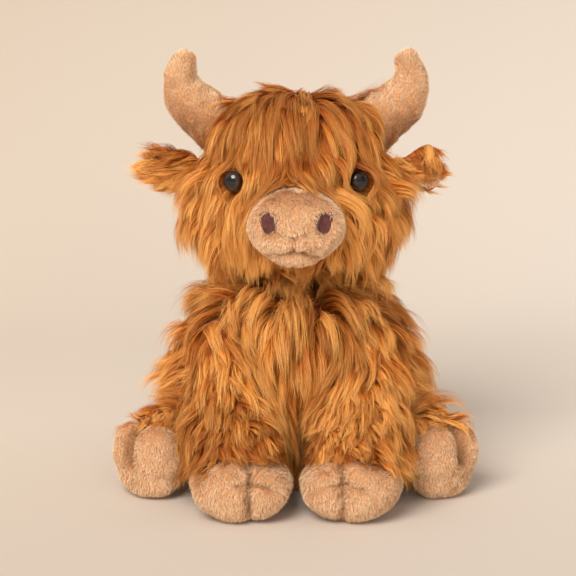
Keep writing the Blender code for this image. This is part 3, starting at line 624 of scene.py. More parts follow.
def clothMaterial(name, dark, light):
    g = Graph(name, Sheen_Weight=0.25, Specular_IOR_Level=0.3)
    weave = g.node("ShaderNodeTexWave", {"wave_type": "BANDS", "bands_direction": "DIAGONAL"}, 1,
                   Vector=g.place(), Scale=900.0, Distortion=1.5)
    g.link("Base Color", g.mix(g.noise(500.0).fit(0.3, 0.7), dark, light))
    g.link("Roughness", weave.fit(0.0, 1.0, 0.55, 0.8))
    g.bump(weave, 0.5, 0.15 * mm)
    return g.material


furBacking = backing("furBacking", (0.26, 0.055, 0.006), (0.46, 0.120, 0.014), 260)
plushBacking = backing("plushBacking", (0.64, 0.30, 0.11), (0.80, 0.43, 0.19), 420)
nostrilCloth = clothMaterial("nostrilCloth", (0.070, 0.016, 0.013), (0.14, 0.040, 0.032))
threadCloth = clothMaterial("threadCloth", (0.40, 0.17, 0.06), (0.62, 0.30, 0.12))
print("materials made")

# Torso and head: forms up a spine. The shares are of height, width, front and back
torso = {"spine": 4 * mm, "low": 17.5 * mm, "high": 118 * mm, "width": 84 * mm, "front": 62 * mm,
         "back": 72 * mm, "inset": 9 * mm, "base": 18 * mm, "top": 24 * mm, "power": 3.2, "lumps": 2.5 * mm,
         "bib": 17 * mm,
         "shares": ((0.00, 0.93, 0.85, 0.88), (0.27, 1.00, 1.00, 1.00), (0.62, 0.97, 1.00, 0.95),
                    (0.87, 0.88, 0.92, 0.82), (1.00, 0.80, 0.80, 0.70))}
head = {"spine": -8 * mm, "low": 172 * mm, "high": 237 * mm, "width": 77 * mm, "front": 70 * mm,
        "back": 60 * mm, "inset": 12 * mm, "base": 28 * mm, "top": 37 * mm, "power": 2.0, "lumps": 2.2 * mm,
        "crown": 6 * mm,
        "shares": ((0.00, 0.92, 0.88, 0.84), (0.25, 1.00, 1.00, 0.94), (0.60, 0.96, 1.00, 1.00),
                   (1.00, 0.79, 0.85, 0.90))}


def trunk(look):
    stations = [(0, look["spine"], look["low"] + (look["high"] - look["low"]) * h, look["width"] * w,
                 look["front"] * f, look["back"] * b) for h, w, f, b in look["shares"]]
    return form(stations, -wide, look["base"], look["top"], -look["inset"], firstPower=look["power"], steps=9)


# The bib on the chest is full, and its hair long and straight
def bibShare(p):
    return past(p, "z", 62, 90) * past(p, "y", 0, -30) * past(p, "side", 54, 34)


def bibForm(p):
    shift = np.zeros_like(p)
    shift[:, 1] = -torso["bib"] * bibShare(p) * past(p, "z", 140, 118) * past(p, "side", 60, 10)
    return shift


torsoSkin = trunk(torso)
torsoSkin.push(lambda p: ripple(p, 26 * mm, 62) * torso["lumps"])
torsoSkin.move(bibForm)
dress("torso_skin", torsoSkin, furBacking, "torso",
      ["body_cover", "body_stuffing", "seat_bean_bag"])

headSkin = trunk(head)
headSkin.push(lambda p: ripple(p, 26 * mm, 61) * head["lumps"] + head["crown"] * past(p, "z", 225, 255))
dress("head_skin", headSkin, furBacking, "head", ["head_cover", "head_stuffing"])

# Muzzle. The shares are of length, width and height
muzzle = {"height": 190 * mm, "first": 48 * mm, "last": 88 * mm, "cap": 24 * mm, "width": 33 * mm,
          "tall": 27 * mm, "inset": 2.4 * mm, "power": 2.3, "shares": ((0, 0.84, 0.82), (0.55, 0.98, 0.97), (1, 1, 1))}
nostrils = {"left": (17.3, 196.2), "right": (-17.3, 196.2)}
mouth = ((-17, 176.2), (-5, 178.3), (5, 178.0), (14, 174.2))
# Creases and swellings of the muzzle in mm: how far out, start and end seen from ahead, and width
muzzleLines = [(-2.0, (-12, 190.2), (-2, 188.2), 1.3), (-2.0, (-2, 188.2), (8, 190.4), 1.3),
               (-1.9, (-1.5, 188), (-1.5, 179), 1.3), (1.6, (-12, 171), (9, 171), 3.4),
               (1.2, (-9, 182), (-6, 182), 3.4), (1.2, (4, 182), (7, 182), 3.4)]
muzzleLines += [(-2.6, start, end, 1.5) for start, end in zip(mouth, mouth[1:])]
muzzleLines += [(-4.6, (x, z + 2), (x, z - 3), 3.6) for x, z in nostrils.values()]


# How near a point is to a line, seen from ahead, as a share that falls off over the width
def near(p, start, end, width):
    a, b = np.array(start) * mm, np.array(end) * mm
    q = p[:, [0, 2]] - a
    along = np.clip(q @ (b - a) / max((b - a) @ (b - a), 1e-12), 0, 1)[:, None]
    return np.exp(-np.sum((q - along * (b - a)) ** 2, axis=1) / (2 * (width * mm) ** 2))


def muzzleShape(p):
    x, z = p[:, 0] / mm, p[:, 2] / mm
    out = -0.7 * mm * np.sin(x * 1.15 + z * 0.5) * near(p, (-11, 188.6), (9, 188.6), 3.2)
    for height, start, end, width in muzzleLines:
        out += height * mm * near(p, start, end, width)
    reach, angle = np.hypot(z - 182, x + 1.5), np.arctan2(z - 182, x + 1.5)
    out += 0.5 * mm * np.sin(angle * 13) * ease(2, 6, reach) * (1 - ease(9, 17, reach))
    return (out + ripple(p, 12 * mm, 71) * 0.5 * mm) * past(p, "y", -86, -100)


def muzzleNarrow(p):
    z = p[:, 2] / mm - 190
    shift = np.zeros_like(p)
    shift[:, 0] = -p[:, 0] * (0.10 * (1 - ease(-25, 2, z)) + 0.03 * ease(8, 26, z))
    shift[:, 2] = np.where(z < 0, -z * 0.12 * mm, 0)
    return shift


muzzleSkin = form([(0, -muzzle["first"] - (muzzle["last"] - muzzle["first"]) * l, muzzle["height"],
                    muzzle["width"] * w, *[muzzle["tall"] * t] * 2) for l, w, t in muzzle["shares"]],
                  wide, 3 * mm, muzzle["cap"], -muzzle["inset"], around=144, steps=10, capSteps=34,
                  lastPower=muzzle["power"])
muzzleSkin.move(muzzleNarrow)
muzzleSkin.push(muzzleShape)
dress("muzzle_plush", muzzleSkin, plushBacking, "head", ["muzzle_cover", "muzzle_stuffing"])

# Horns. The shares are of the way outwards, the way up and the radius
horn = {"root": (46, 3, 236), "outwards": 32.5, "upwards": 56, "radius": 18, "inset": 1.3 * mm,
        "lumps": 0.6 * mm, "shares": ((0.00, 0.00, 0.97), (0.40, 0.26, 1.00), (0.84, 0.50, 0.92), (1.00, 0.75, 0.68),
                   (0.93, 1.00, 0.46))}
hornSkins = {}
hornBlobs = []
for sideName, side in sides:
    x, y, z = horn["root"]
    stations = [(side * (x + horn["outwards"] * o) * mm, y * mm, (z + horn["upwards"] * u) * mm,
                 *[horn["radius"] * r * mm] * 3) for o, u, r in horn["shares"]]
    skin = form(stations, ahead, 3 * mm, 6.5 * mm, -horn["inset"], around=48, steps=10)
    skin.push(lambda p: ripple(p, 14 * mm, 73) * horn["lumps"])
    hornSkins[sideName] = skin
    hornBlobs += [Blob(s[:3], [s[3]] * 3) for s in spline(stations, 3)]
    dress(f"horn_plush_{sideName}", skin, plushBacking, "head",
          [f"horn_cover_{sideName}", f"horn_stuffing_{sideName}"])

# Ears: the right one is a pointed leaf, the tip of the left one is folded forward. The shares are of length,
# width and thickness
ear = {"root": (68.936, 0, 214), "lift": math.radians(8), "length": 35.5 * mm, "half": 17.5 * mm,
       "thick": 3.6 * mm, "lining": 0.74, "fold": 88 * mm,
       "right": ((0.25, 0.78, 0.94), (0.50, 0.80, 1.00), (0.77, 0.50, 0.85), (1.00, 0.20, 0.60)),
       "left": ((0.25, 0.62, 0.94), (0.50, 0.88, 1.00), (0.77, 0.98, 0.92), (1.00, 0.78, 0.72))}
earSkins, liningSkins = {}, {}


def earFold(p):
    over = np.maximum(p[:, 0] - ear["fold"], 0)
    return np.stack([-0.45 * over, -0.3 * over, np.zeros(len(p))], axis=1)


for sideName, side in sides:
    root = np.array(ear["root"]) * (side, 1, 1) * mm
    out = np.array((side * math.cos(ear["lift"]), 0, math.sin(ear["lift"])))
    stations = [(*root, 11 * mm, 3 * mm, 3 * mm)] + [
        (*(root + out * ear["length"] * l), ear["half"] * w, ear["thick"] * d, ear["thick"] * d)
        for l, w, d in ear[sideName]]
    skin = form(stations, up, 8 * mm, 5 * mm, -1.0 * mm, around=40, steps=5)
    lining = form([(x, y - ear["thick"] * 0.8, z - 1 * mm, half * ear["lining"], 1.3 * mm, 1.3 * mm)
                   for x, y, z, half, _, _ in stations], up, 2 * mm, 2 * mm, around=32, steps=5)
    lining.move(lambda p: np.outer(past(p, "z", 206, 214) * 3.5 * mm, (0, 1, 0)))
    if sideName == "left":
        skin.move(earFold)
        lining.move(earFold)
    earSkins[sideName], liningSkins[sideName] = skin, lining
    dress(f"ear_skin_{sideName}", skin, furBacking, f"ear_{sideName}",
          [f"ear_outer_{sideName}"])
    dress(f"ear_plush_{sideName}", lining, plushBacking, f"ear_{sideName}",
          [f"ear_lining_{sideName}"])

# Legs: places on the left side in mm. The shares are of length, radius and pile
rearTurn = math.radians(43)
legs = {"front": {"root": (50, -44, 104), "ankle": (37.5, -90, 36), "radius": 20 * mm, "pile": 1,
                  "inset": 9 * mm},
        "rear": {"root": (62, -16, 34), "reach": 45, "radius": 18.5 * mm, "pile": 0.95, "inset": 13 * mm}}
legShares = ((0.00, 0.98, 0.00), (0.30, 0.90, 0.70), (0.62, 1.04, 0.95), (1.00, 1.10, 1.00))
legSkins = {}


def rearWay(side):
    return np.array((side * math.sin(rearTurn), -math.cos(rearTurn), 0))


for sideName, side in sides:
    for kind, leg in legs.items():
        root = np.array(leg["root"]) * (side, 1, 1) * mm
        if kind == "front":
            ankle, across = np.array(leg["ankle"]) * (side, 1, 1) * mm, wide
        else:
            ankle, across = root + rearWay(side) * leg["reach"] * mm, np.cross(up, rearWay(side))
        halves = [leg["radius"] * size + (5 + (14 * leg["pile"] - 5) * depth) * mm
                  for _, size, depth in legShares]
        skin = form([(*(root + (ankle - root) * share[0]), half, half, half)
                     for share, half in zip(legShares, halves)],
                    across, leg["radius"] + 5 * mm, 26 * mm, -leg["inset"], around=48, steps=6)
        legSkins[kind, sideName] = (skin, root, ankle)
        dress(f"{kind}_leg_skin_{sideName}", skin, furBacking, f"{kind}_leg_{sideName}",
              [f"{kind}_leg_cover_{sideName}", f"{kind}_leg_stuffing_{sideName}"])

# Hooves: places on the left side and half sizes in mm. The shares are of length, width and height
hooves = {"front": {"centre": (36.5, -97, 20.5), "width": 34.5 * mm, "height": 21 * mm, "length": 33 * mm},
          "rear": {"centre": (62, -16, 0), "reach": 56.5, "lift": 24.8 * mm, "width": 27.5 * mm,
                   "height": 18.5 * mm, "length": 25.3 * mm}}
hoofShares = ((0.00, 0.88, 0.90), (0.45, 1.00, 1.00), (1.00, 0.93, 0.96))
hoofSkins, hoofFrames, hoofBlobs = {}, {}, {}


# A ridge or groove across u, of some width
def bell(u, width):
    return np.exp(-u ** 2 / (2 * width ** 2))


# The cleft between the toes, the crease across it and the puckers round their crossing
def hoofShape(p, kind, side, hoofFrame):
    centre, across, toe, face = hoofFrame
    u, w, f = ((p - centre) @ axis / mm for axis in (across, toe, face))
    u = u * side + (6 if kind == "front" else -3)
    if kind == "front":
        f = f - 8.5
        puckers = ease(10, 24, w)
        out = -5.4 * bell(u, 2.0) * ease(8, 22, w) * ease(-28.5, -17.5, f)
        out += 1.6 * bell(np.abs(u) - 13, 7.0) * puckers
        out -= 4.6 * bell(f + 0.06 * u ** 2 / 4, 1.6) * bell(u, 12.0) * puckers
        reach, angle, depth = np.hypot(u, f), np.arctan2(f, u), 1.2
    else:
        top = ease(-6, 4, w) * ease(-9, 3, f)
        out = (1.5 * bell(np.abs(u) - 15, 6.0) - 10.0 * np.exp(-np.abs(u / 6.6) ** 3)) * top
        reach, angle, depth, puckers = np.hypot(u, w - 1), np.arctan2(w - 1, u), 0.5, ease(4, 14, f)
    out += depth * np.sin(angle * 11 + side) * ease(2, 6, reach) * (1 - ease(8, 18, reach)) * puckers
    return (out + ripple(p, 22 * mm, 75 + side) * 0.6) * mm


for sideName, side in sides:
    for kind, hoof in hooves.items():
        centre = np.array(hoof["centre"]) * (side, 1, 1) * mm
        if kind == "front":
            toe, across, face, turn = ahead, wide, up, 0
            radii = (hoof["width"], hoof["length"], hoof["height"])
        else:
            centre = centre + rearWay(side) * hoof["reach"] * mm + up * hoof["lift"]
            toe, across, face, turn = up, np.cross(rearWay(side), up), rearWay(side), side * rearTurn
            radii = (hoof["width"], hoof["height"], hoof["length"])
        cap = hoof["length"] * 0.62
        run = hoof["length"] - cap
        stations = [(*(centre + toe * run * (2 * l - 1)), hoof["width"] * w, *[hoof["height"] * h] * 2)
                    for l, w, h in hoofShares]
        skin = form(stations, across, cap, cap, -1.3 * mm, around=144, steps=9, capSteps=26, firstPower=2.4,
                    lastPower=2.4)
        placing = (kind, side, (centre, np.sign(across[0]) * across, toe, face))
        skin.push(lambda p, placing=placing: hoofShape(p, *placing))
        hoofFrames[kind, sideName] = placing
        hoofSkins[kind, sideName] = skin
        hoofBlobs[kind, sideName] = Blob(centre, radii, turn)
        dress(f"{kind}_hoof_plush_{sideName}", skin, plushBacking, f"{kind}_leg_{sideName}",
              [f"{kind}_hoof_cover_{sideName}", f"{kind}_hoof_stuffing_{sideName}"])
print("forms made")

# Eyes: glossy domes that look outwards, brown towards the rim
eyeLook = {"radius": 7.0 * mm, "dome": 5.0 * mm, "back": 2.5 * mm, "proud": 1.0 * mm, "turn": math.radians(24),
           "steps": 14, "around": 48, "black": (0.004, 0.004, 0.005), "brown": (0.045, 0.020, 0.010)}


def eyeMaterial():
    g = Graph("eyeGloss", Coat_Weight=0.35, Coat_Roughness=0.03, Specular_IOR_Level=0.5)
    x, y, _ = g.axes(g.place())
    radius = (x * x + y * y) ** 0.5
    ring = radius.fit(3.3 * mm, 4.4 * mm) * radius.fit(5.2 * mm, 6.4 * mm, 1.0, 0.25)
    g.link("Base Color", g.mix(ring, eyeLook["black"], eyeLook["brown"]))
    g.link("Roughness", g.noise(900.0).fit(0.35, 0.7, 0.05, 0.09))
    return g.material


eyeGloss = eyeMaterial()
around = eyeLook["around"]
profile = [(math.sin(a), eyeLook["dome"] * math.cos(a))
           for a in np.linspace(0, math.pi / 2, eyeLook["steps"] + 1)[1:]]
profile += [(0.94, -eyeLook["back"]), (0.3, -eyeLook["back"])]
verts = [(0, 0, eyeLook["dome"])] + [
    (eyeLook["radius"] * r * math.cos(a), eyeLook["radius"] * r * math.sin(a), height)
    for r, height in profile for a in 2 * math.pi * np.arange(around) / around]
faces = [(0, 1 + j, 1 + (j + 1) % around) for j in range(around)]
faces += [face[::-1] for face in bands(len(profile), around, 1)]
faces.append(tuple(range(len(verts) - 1, len(verts) - 1 - around, -1)))
eyes = {}
for sideName, side in sides:
    gaze = Vector((side * math.sin(eyeLook["turn"]), -math.cos(eyeLook["turn"]), 0))
    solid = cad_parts[f"eye_{sideName}"]
    tip = max((solid.matrix_world @ v.co for v in solid.data.vertices), key=lambda v: v.dot(gaze))
    eyes[sideName] = np.array(tip)
    eye = make(f"eye_dome_{sideName}", verts, faces, eyeGloss)
    eye.matrix_world = (Matrix.Translation(tip + gaze * (eyeLook["proud"] - eyeLook["dome"]))
                        @ Vector(up).rotation_difference(gaze).to_matrix().to_4x4())
    bpy.context.view_layer.update()
    settle(eye, "head", [f"eye_{sideName}"])
print("eyes made")

# Nostrils: smooth cloth let into the muzzle, hollowed in the middle. The outline is of the left one, in shares
nostril = {"width": 11.0, "height": 14.5, "rings": 8, "rim": 1.06, "lift": 1.2 * mm, "sink": 0.4 * mm,
           "outline": ((-0.62, 0.50), (-0.1, 0.52), (0.42, 0.42), (0.50, 0.05), (0.30, -0.42), (-0.10, -0.50),
                       (-0.46, -0.20))}


def nostrilOutline(side, x, z):
    loop = spline(nostril["outline"] * 2, 6)[:len(nostril["outline"]) * 6]
    loop = (loop + np.roll(loop, 1, axis=0)) / 2
    return np.stack([x - side * loop[:, 0] * nostril["width"], z + loop[:, 1] * nostril["height"]], axis=1)


muzzleTree = BVHTree.FromPolygons(muzzleSkin.points.tolist(), muzzleSkin.faces)


def onMuzzle(spot):
    return muzzleTree.ray_cast(Vector((spot[0] * mm, -0.2, spot[1] * mm)), Vector(-ahead))[0]


nostrilBlobs = []
for sideName, side in sides:
    outline = nostrilOutline(side, *nostrils[sideName])
    middle = outline.mean(axis=0)
    count, rings = len(outline), nostril["rings"]
    verts = []
    for k in range(rings):
        share = nostril["rim"] - k / rings
        lift = nostril["lift"] * math.sin(min(1, k / rings / 0.3) * math.pi / 2) - nostril["sink"]
        verts += [onMuzzle(middle + (spot - middle) * share) + Vector(ahead) * lift for spot in outline]
    verts.append(onMuzzle(middle) + Vector(ahead) * (nostril["lift"] - nostril["sink"]))
    faces, last = bands(rings, count), (rings - 1) * count
    faces += [(last + j, last + (j + 1) % count, rings * count) for j in range(count)]
    patch = Skin([tuple(v) for v in verts], faces)
    if patch.normals[:, 1].mean() > 0:
        patch = Skin(patch.points, [f[::-1] for f in faces])
    dress(f"nostril_{sideName}", patch, nostrilCloth, "head", [f"nostril_patch_{sideName}"])
    nostrilBlobs.append(Blob((middle[0] * mm, -0.105, middle[1] * mm), (5.0 * mm, 30 * mm, 6.6 * mm)))
print("nostrils made")

# Coats. Lengths in metres, lift in degrees, density in strands a square metre, the rest in shares
furLook = {"steps": 6, "length": 44 * mm, "uneven": 0.3, "lift": 48, "height": 9 * mm, "spacing": 7.0 * mm,
           "wisp": 1.8 * mm, "density": 2.2e6, "clump": 0.45, "wispClump": 0.8, "wispStray": 2.0 * mm,
           "wave": 2.6 * mm, "wispWave": 0.7 * mm, "turns": 1.0, "twist": 1.0, "frizz": 1.0 * mm, "fly": 0.04,
           "width": 0.36 * mm, "mess": 0.3, "hang": 0.9, "cling": 0.5, "shortest": 0.5, "lockTone": 0.2,
           "strandTone": 0.14, "bold": 0.14}
headFur = {**furLook, "height": 8 * mm}
muzzleBlob = Blob((0, -80 * mm, 190 * mm), (33.5 * mm, 34 * mm, 27.5 * mm))
eyeClearing = 9.0 * mm


# Hair falls from a whorl at the back of the crown
def headFlow(p, n):
    x, y, z = p[:, 0] / mm, p[:, 1] / mm, p[:, 2] / mm
    crown = ease(228, 262, z)[:, None]
    way = np.stack([x / 60 * 0.4, np.zeros_like(x), -np.ones_like(x)], axis=1)
    fan = unit(np.stack([x - 2, y - 14, -8 * np.ones_like(x)], axis=1)) * 1.4
    return way * (1 - crown) + fan * crown + rippleVector(p, 45 * mm, 3) * 0.24 * (1 - 0.6 * crown)


def headWanted(p):
    return (muzzleBlob.inside(p) > 0.93) & clearOf(hornBlobs, p, 0.85)


# Longer over the forehead, shorter under the muzzle
def headLength(p):
    fringe = past(p, "z", 225, 250) * past(p, "y", 0, -20)
    chin = past(p, "z", 180, 168) * past(p, "y", -30, -45) * past(p, "side", 52, 40)
    return 0.9 + 0.35 * fringe - 0.5 * chin


# Painted light and shade: the forehead's locks are darker, as painted shade, and those of its right side, where the
# key lamp falls, lighter, as painted light
def headLightAndShade(p):
    foreheadShade = past(p, "z", 205, 225) * past(p, "y", 15, -15) * past(p, "side", 60, 30)
    return 0.12 * past(p, "x", 10, -50) - 0.5 * foreheadShade


coat("head_fur", "head", headSkin, headFlow, headFur, longFur, 11, headWanted, headLength,
     lambda p: 1 - 0.75 * past(p, "z", 228, 252), [muzzleBlob] + hornBlobs, headLightAndShade,
     [(place, eyeClearing) for place in eyes.values()], calm=lambda p: 0.65 * past(p, "z", 208, 232))

bodyGround = Ground(torsoSkin, *[legSkins[kind, sideName][0] for kind in legs for sideName, _ in sides],
                    *hoofSkins.values())
legRoots = []
for sideName, _ in sides:
    _, root, ankle = legSkins["front", sideName]
    legRoots += [Blob(root + (ankle - root) * share, [22 * mm] * 3) for share in (0.0, 0.2, 0.4)]


def torsoFlow(p, n):
    x, y, z = p[:, 0] / mm, p[:, 1] / mm, p[:, 2] / mm
    bib = ease(45, 20, np.abs(x)) * ease(0, -30, y)
    low = ease(110, 40, z)
    way = np.stack([x / 84 * (0.3 + 0.9 * low) * (1 - bib), y / 70 * 0.5 * (1 - bib), -np.ones_like(x)], axis=1)
    way[:, 2] -= bib * 0.6
    return way + rippleVector(p, 38 * mm, 5) * (0.36 * (1 - 0.7 * bib))[:, None]


# No hair grows inside the leg roots
def torsoWanted(p):
    return (p[:, 2] > 6 * mm) & clearOf(legRoots, p, 1)


def outer(p):
    return past(p, "side", 50, 72)


def torsoLoft(p):
    return 1 + 0.2 * bibShare(p) + 0.7 * past(p, "z", 100, 60) * past(p, "side", 55, 75) + 0.3 * outer(p)


# Darker down the chest and lighter at the outer sides, with a painted highlight: a lighter patch at the top of the
# bib, where the lamp falls
def torsoToneAndHighlight(p):
    patch = np.exp(-((p[:, 0] / mm + 14) / 14) ** 2 - ((p[:, 2] / mm - 128) / 14) ** 2) * bibShare(p)
    return 0.45 * outer(p) - 0.22 + 0.7 * patch


coat("torso_fur", "torso", torsoSkin, torsoFlow, furLook, longFur, 12, torsoWanted,
     lambda p: 1 + 0.35 * bibShare(p), torsoLoft, list(hoofBlobs.values()), torsoToneAndHighlight, ground=bodyGround,
     calm=lambda p: 0.75 * bibShare(p) - 0.7 * outer(p))

legFur = {"front": {**furLook, "length": 36 * mm},
          "rear": {**furLook, "length": 23 * mm, "height": 3.5 * mm, "lift": 22}}
legSeeds = {"front": 20, "rear": 23}
legEnds = {"front": 8 * mm, "rear": 9 * mm}  # How far past the ankle hair grows
for sideName, side in sides:
    for kind in legs:
        skin, root, ankle = legSkins[kind, sideName]
        line = unit(ankle - root)
        reach = np.linalg.norm(ankle - root)
        blob = hoofBlobs[kind, sideName]

        def legFlow(p, n):
            radial = p - root - dot(p - root, line) * line
            spray = radial / (30 * mm) * np.array((1.0, 0.5, 0.3))
            return line + spray * 0.6 + down * 0.35 + rippleVector(p, 30 * mm, 7) * 0.38

        def legLength(p):
            outside = ease(0, 18 * mm, (p[:, 0] - root[0]) * side + 4 * mm)
            return 1 - (0.6 - 0.4 * outside) * ease(0.35, 1.0, ((p - root) @ line) / reach)

        def legWanted(p):
            above = (p - ankle) @ line < legEnds[kind]
            return (blob.inside(p) > 1.0) & (torsoSkin.height(p) > -4 * mm) & above

        def legLoft(p):
            return (0.35 + 0.65 * ease(-0.1, 0.6, ((p - root) @ line) / reach)) * past(p, "side", 6, 22)

        # Painted shade: a little darker overall, darker still on the inner sides in the crevice between the legs, and
        # on the right front leg under the body. The rear legs' hair is lighter
        def legToneAndShade(p):
            innerShade = -0.45 * past(p, "side", 22, 8) - 0.1
            if kind == "rear":
                return innerShade + 0.4
            return innerShade - 0.45 * past(p, "x", 0, -20) * past(p, "z", 95, 65)

        coat(f"{kind}_leg_fur_{sideName}", f"{kind}_leg_{sideName}", skin, legFlow, legFur[kind], longFur,
             legSeeds[kind] + side, legWanted, legLength, legLoft, [blob], legToneAndShade, ground=bodyGround)

# The ears' hair points at their tips, and is painted darker in the hollow behind the root, as shade. Places and
# lengths in mm
earFur = {**furLook, "spacing": 4.5 * mm, "height": 3.5 * mm, "density": 3.2e6, "wave": 1.5 * mm, "hang": 0.3,
          "frizz": 1.2 * mm, "wispStray": 2.6 * mm, "mess": 0.4, "shortest": 0.35}
earLocks = {"left": {"tip": (108, -3, 213), "length": 14, "hollow": (87, 0, 221)},
            "right": {"tip": (120, -3, 219), "length": 25, "hollow": (79, 0, 225)}}
for sideName, side in sides:
    locks = earLocks[sideName]
    tip = np.array(locks["tip"]) * (side, 1, 1) * mm
    hollow = np.array(locks["hollow"]) * (side, 1, 1) * mm

    def earFlow(p, n):
        return unit(tip - p) * 1.2 + rippleVector(p, 18 * mm, 8) * 0.3

    def earWanted(p):
        shown = (p[:, 1] < -1 * mm) & (p[:, 2] < 211 * mm) & (side > 0)
        return ~shown & (np.abs(p[:, 0]) > 66 * mm)

    # Lighter overall and lower down, with painted shade: much darker round the hollow behind the root
    def earToneAndShade(p):
        away = ((p - hollow) * np.array((1, 0, 1.3)) / (9 * mm)) ** 2
        return 0.45 + 0.2 * past(p, "z", 216, 206) - 1.5 * np.exp(-away.sum(axis=1) / 2)

    coat(f"ear_fur_{sideName}", f"ear_{sideName}", earSkins[sideName], earFlow,
         {**earFur, "length": locks["length"] * mm}, longFur, 40 + side, earWanted,
         lambda p: 1 - 0.6 * past(p, "side", 92, 108), tint=earToneAndShade)

# Plush nap
napLook = {"density": 4.6e6, "length": 3.0 * mm, "lean": 50, "width": 0.28 * mm, "patch": 13 * mm, "mess": 0.5,
           "stray": 0.12, "tuft": 1.2 * mm}


def combed(*way):
    return lambda p, n: np.tile(way, (len(p), 1))


# A little lighter overall, with painted shade: darker where the surface sinks, in the creases, the mouth and round the
# nostrils, and towards the top under the forelock
def muzzleShadeTint(p):
    return 0.1 + 0.16 * np.minimum(muzzleShape(p) / mm, 0) - 0.3 * past(p, "z", 198, 214)


# Painted light and shade: lighter towards the horns' tips, where the light falls, and darker at their base among the
# hair
def hornLightAndShade(p):
    return 0.25 * past(p, "z", 255, 290) - 0.3 * past(p, "z", 262, 245)


nap("muzzle_nap", "head", muzzleSkin, combed(0, -0.2, -1.0), napLook, shortFur, 50,
    lambda p: (p[:, 1] < -55 * mm) & clearOf(nostrilBlobs, p, 1), muzzleShadeTint)
for sideName, side in sides:
    nap(f"horn_nap_{sideName}", "head", hornSkins[sideName], combed(0, 0, 1.0), napLook, shortFur, 52 + side,
        lambda p: headSkin.height(p) > -2 * mm, hornLightAndShade)
    nap(f"ear_nap_{sideName}", f"ear_{sideName}", liningSkins[sideName], combed(side * 1.0, 0, -0.4), napLook,
        shortFur, 54 + side)
    # The hooves' plush is a little darker overall, and darker still where the surface sinks into the cleft and
    # creases, as painted shade
    for kind, seed in (("front", 56), ("rear", 59)):
        nap(f"{kind}_hoof_nap_{sideName}", f"{kind}_leg_{sideName}", hoofSkins[kind, sideName],
            combed(0, -0.3, -1.0), napLook, shortFur, seed + side,
            tint=lambda p: 0.09 * np.minimum(hoofShape(p, *hoofFrames[kind, sideName]) / mm, 0) - 0.06)

# Tail: a furry cord with a tuft of darker hair. The shares are of the reach, backwards and downwards
tail = {"root": (0, 73.133, 52), "reach": 40 * mm, "cord": 3.0 * mm, "tuft": 6.5 * mm, "tuftLength": 11,
        "shares": ((0.0, 0.0), (0.14, 0.08), (0.28, 0.20), (0.37, 0.50), (0.38, 0.80))}
tailFur = {**earFur, "height": 2.5 * mm, "spacing": 3.5 * mm, "density": 4.0e6}
tailPath = [np.array(tail["root"]) * mm + np.array((0, back, -drop)) * tail["reach"]
            for back, drop in tail["shares"]]
cordSkin = form([(*spot, *[tail["cord"]] * 3) for spot in tailPath], wide, 2 * mm, 2 * mm, around=20, steps=6)
tuftSkin = form([(*tailPath[-1] + up * (tail["tuftLength"] * share - 2) * mm, *[tail["tuft"] * r] * 3)
                 for share, r in ((1.0, 0.5), (0.5, 0.9), (0.0, 1.0))],
                wide, 4 * mm, 6 * mm, around=28, steps=6)


def tailFlow(p, n):
    return down + np.array((0, 0.15, 0)) + rippleVector(p, 12 * mm, 9) * 0.2


for part, skin, slot, material, length in (("cord", cordSkin, "long_pile", longFur, 13),
                                           ("tuft", tuftSkin, "dark_pile", darkFur, 15)):
    dress(f"tail_{part}_skin", skin, furBacking, "tail", [f"tail_{part}"])
    coat(f"tail_{part}_fur", "tail", skin, tailFlow, {**tailFur, "length": length * mm}, material, 60)

# Threads: fine twisted cords that lie in the clefts and the mouth
threadLook = {"radius": 0.55 * mm, "around": 10, "twist": 1.1, "strands": 0.18}


def thread(name, skin, spots, way, body, node):
    radius, around = threadLook["radius"], threadLook["around"]
    tree = BVHTree.FromPolygons(skin.points.tolist(), skin.faces)
    line = np.array([tree.ray_cast(Vector(spot + way * 60 * mm), Vector(-way))[0] for spot in spline(spots, 5)])
    line = line + way * radius * 0.4
    over = unit(np.cross(unit(np.gradient(line, axis=0)), way))
    beside = np.cross(unit(np.gradient(line, axis=0)), over)
    verts = []
    for k, spot in enumerate(line):
        for j in range(around):
            a = 2 * math.pi * j / around + k * threadLook["twist"]
            r = radius * (1 + threadLook["strands"] * math.cos(2 * (a - 2 * k * threadLook["twist"])))
            verts.append(spot + (over[k] * math.cos(a) + beside[k] * math.sin(a)) * r)
    faces = bands(len(line), around)
    faces += [tuple(range(around))[::-1], tuple(range(len(verts) - around, len(verts)))]
    dress(name, Skin(verts, faces), threadCloth, body, [node])


thread("mouth_thread", muzzleSkin, [(x * mm, -0.1, z * mm) for x, z in mouth], ahead, "head", "mouth_stitch")
for sideName, side in sides:
    for kind, shift, heights in (("front", -6, (-10, -2, 6, 13)), ("rear", 3, (2, 8, 14))):
        centre, across, toe, face = hoofFrames[kind, sideName][2]
        way, rise = (toe, face) if kind == "front" else (face, toe)
        spots = [centre + across * side * shift * mm + rise * height * mm for height in heights]
        thread(f"{kind}_toe_thread_{sideName}", hoofSkins[kind, sideName], spots, way, f"{kind}_leg_{sideName}",
               f"{kind}_toe_stitch_{sideName}")
print("threads made")

# Floor and backdrop: a sheet that sweeps up behind, cut off low enough for cameras behind it
stageLook = {"start": 0.38, "radius": 0.8, "front": -3.0, "half": 4, "degrees": 68, "left": (0.745, 0.61, 0.48),
             "right": (0.87, 0.765, 0.665), "paintedShade": (0.84, 0.83, 0.82)}


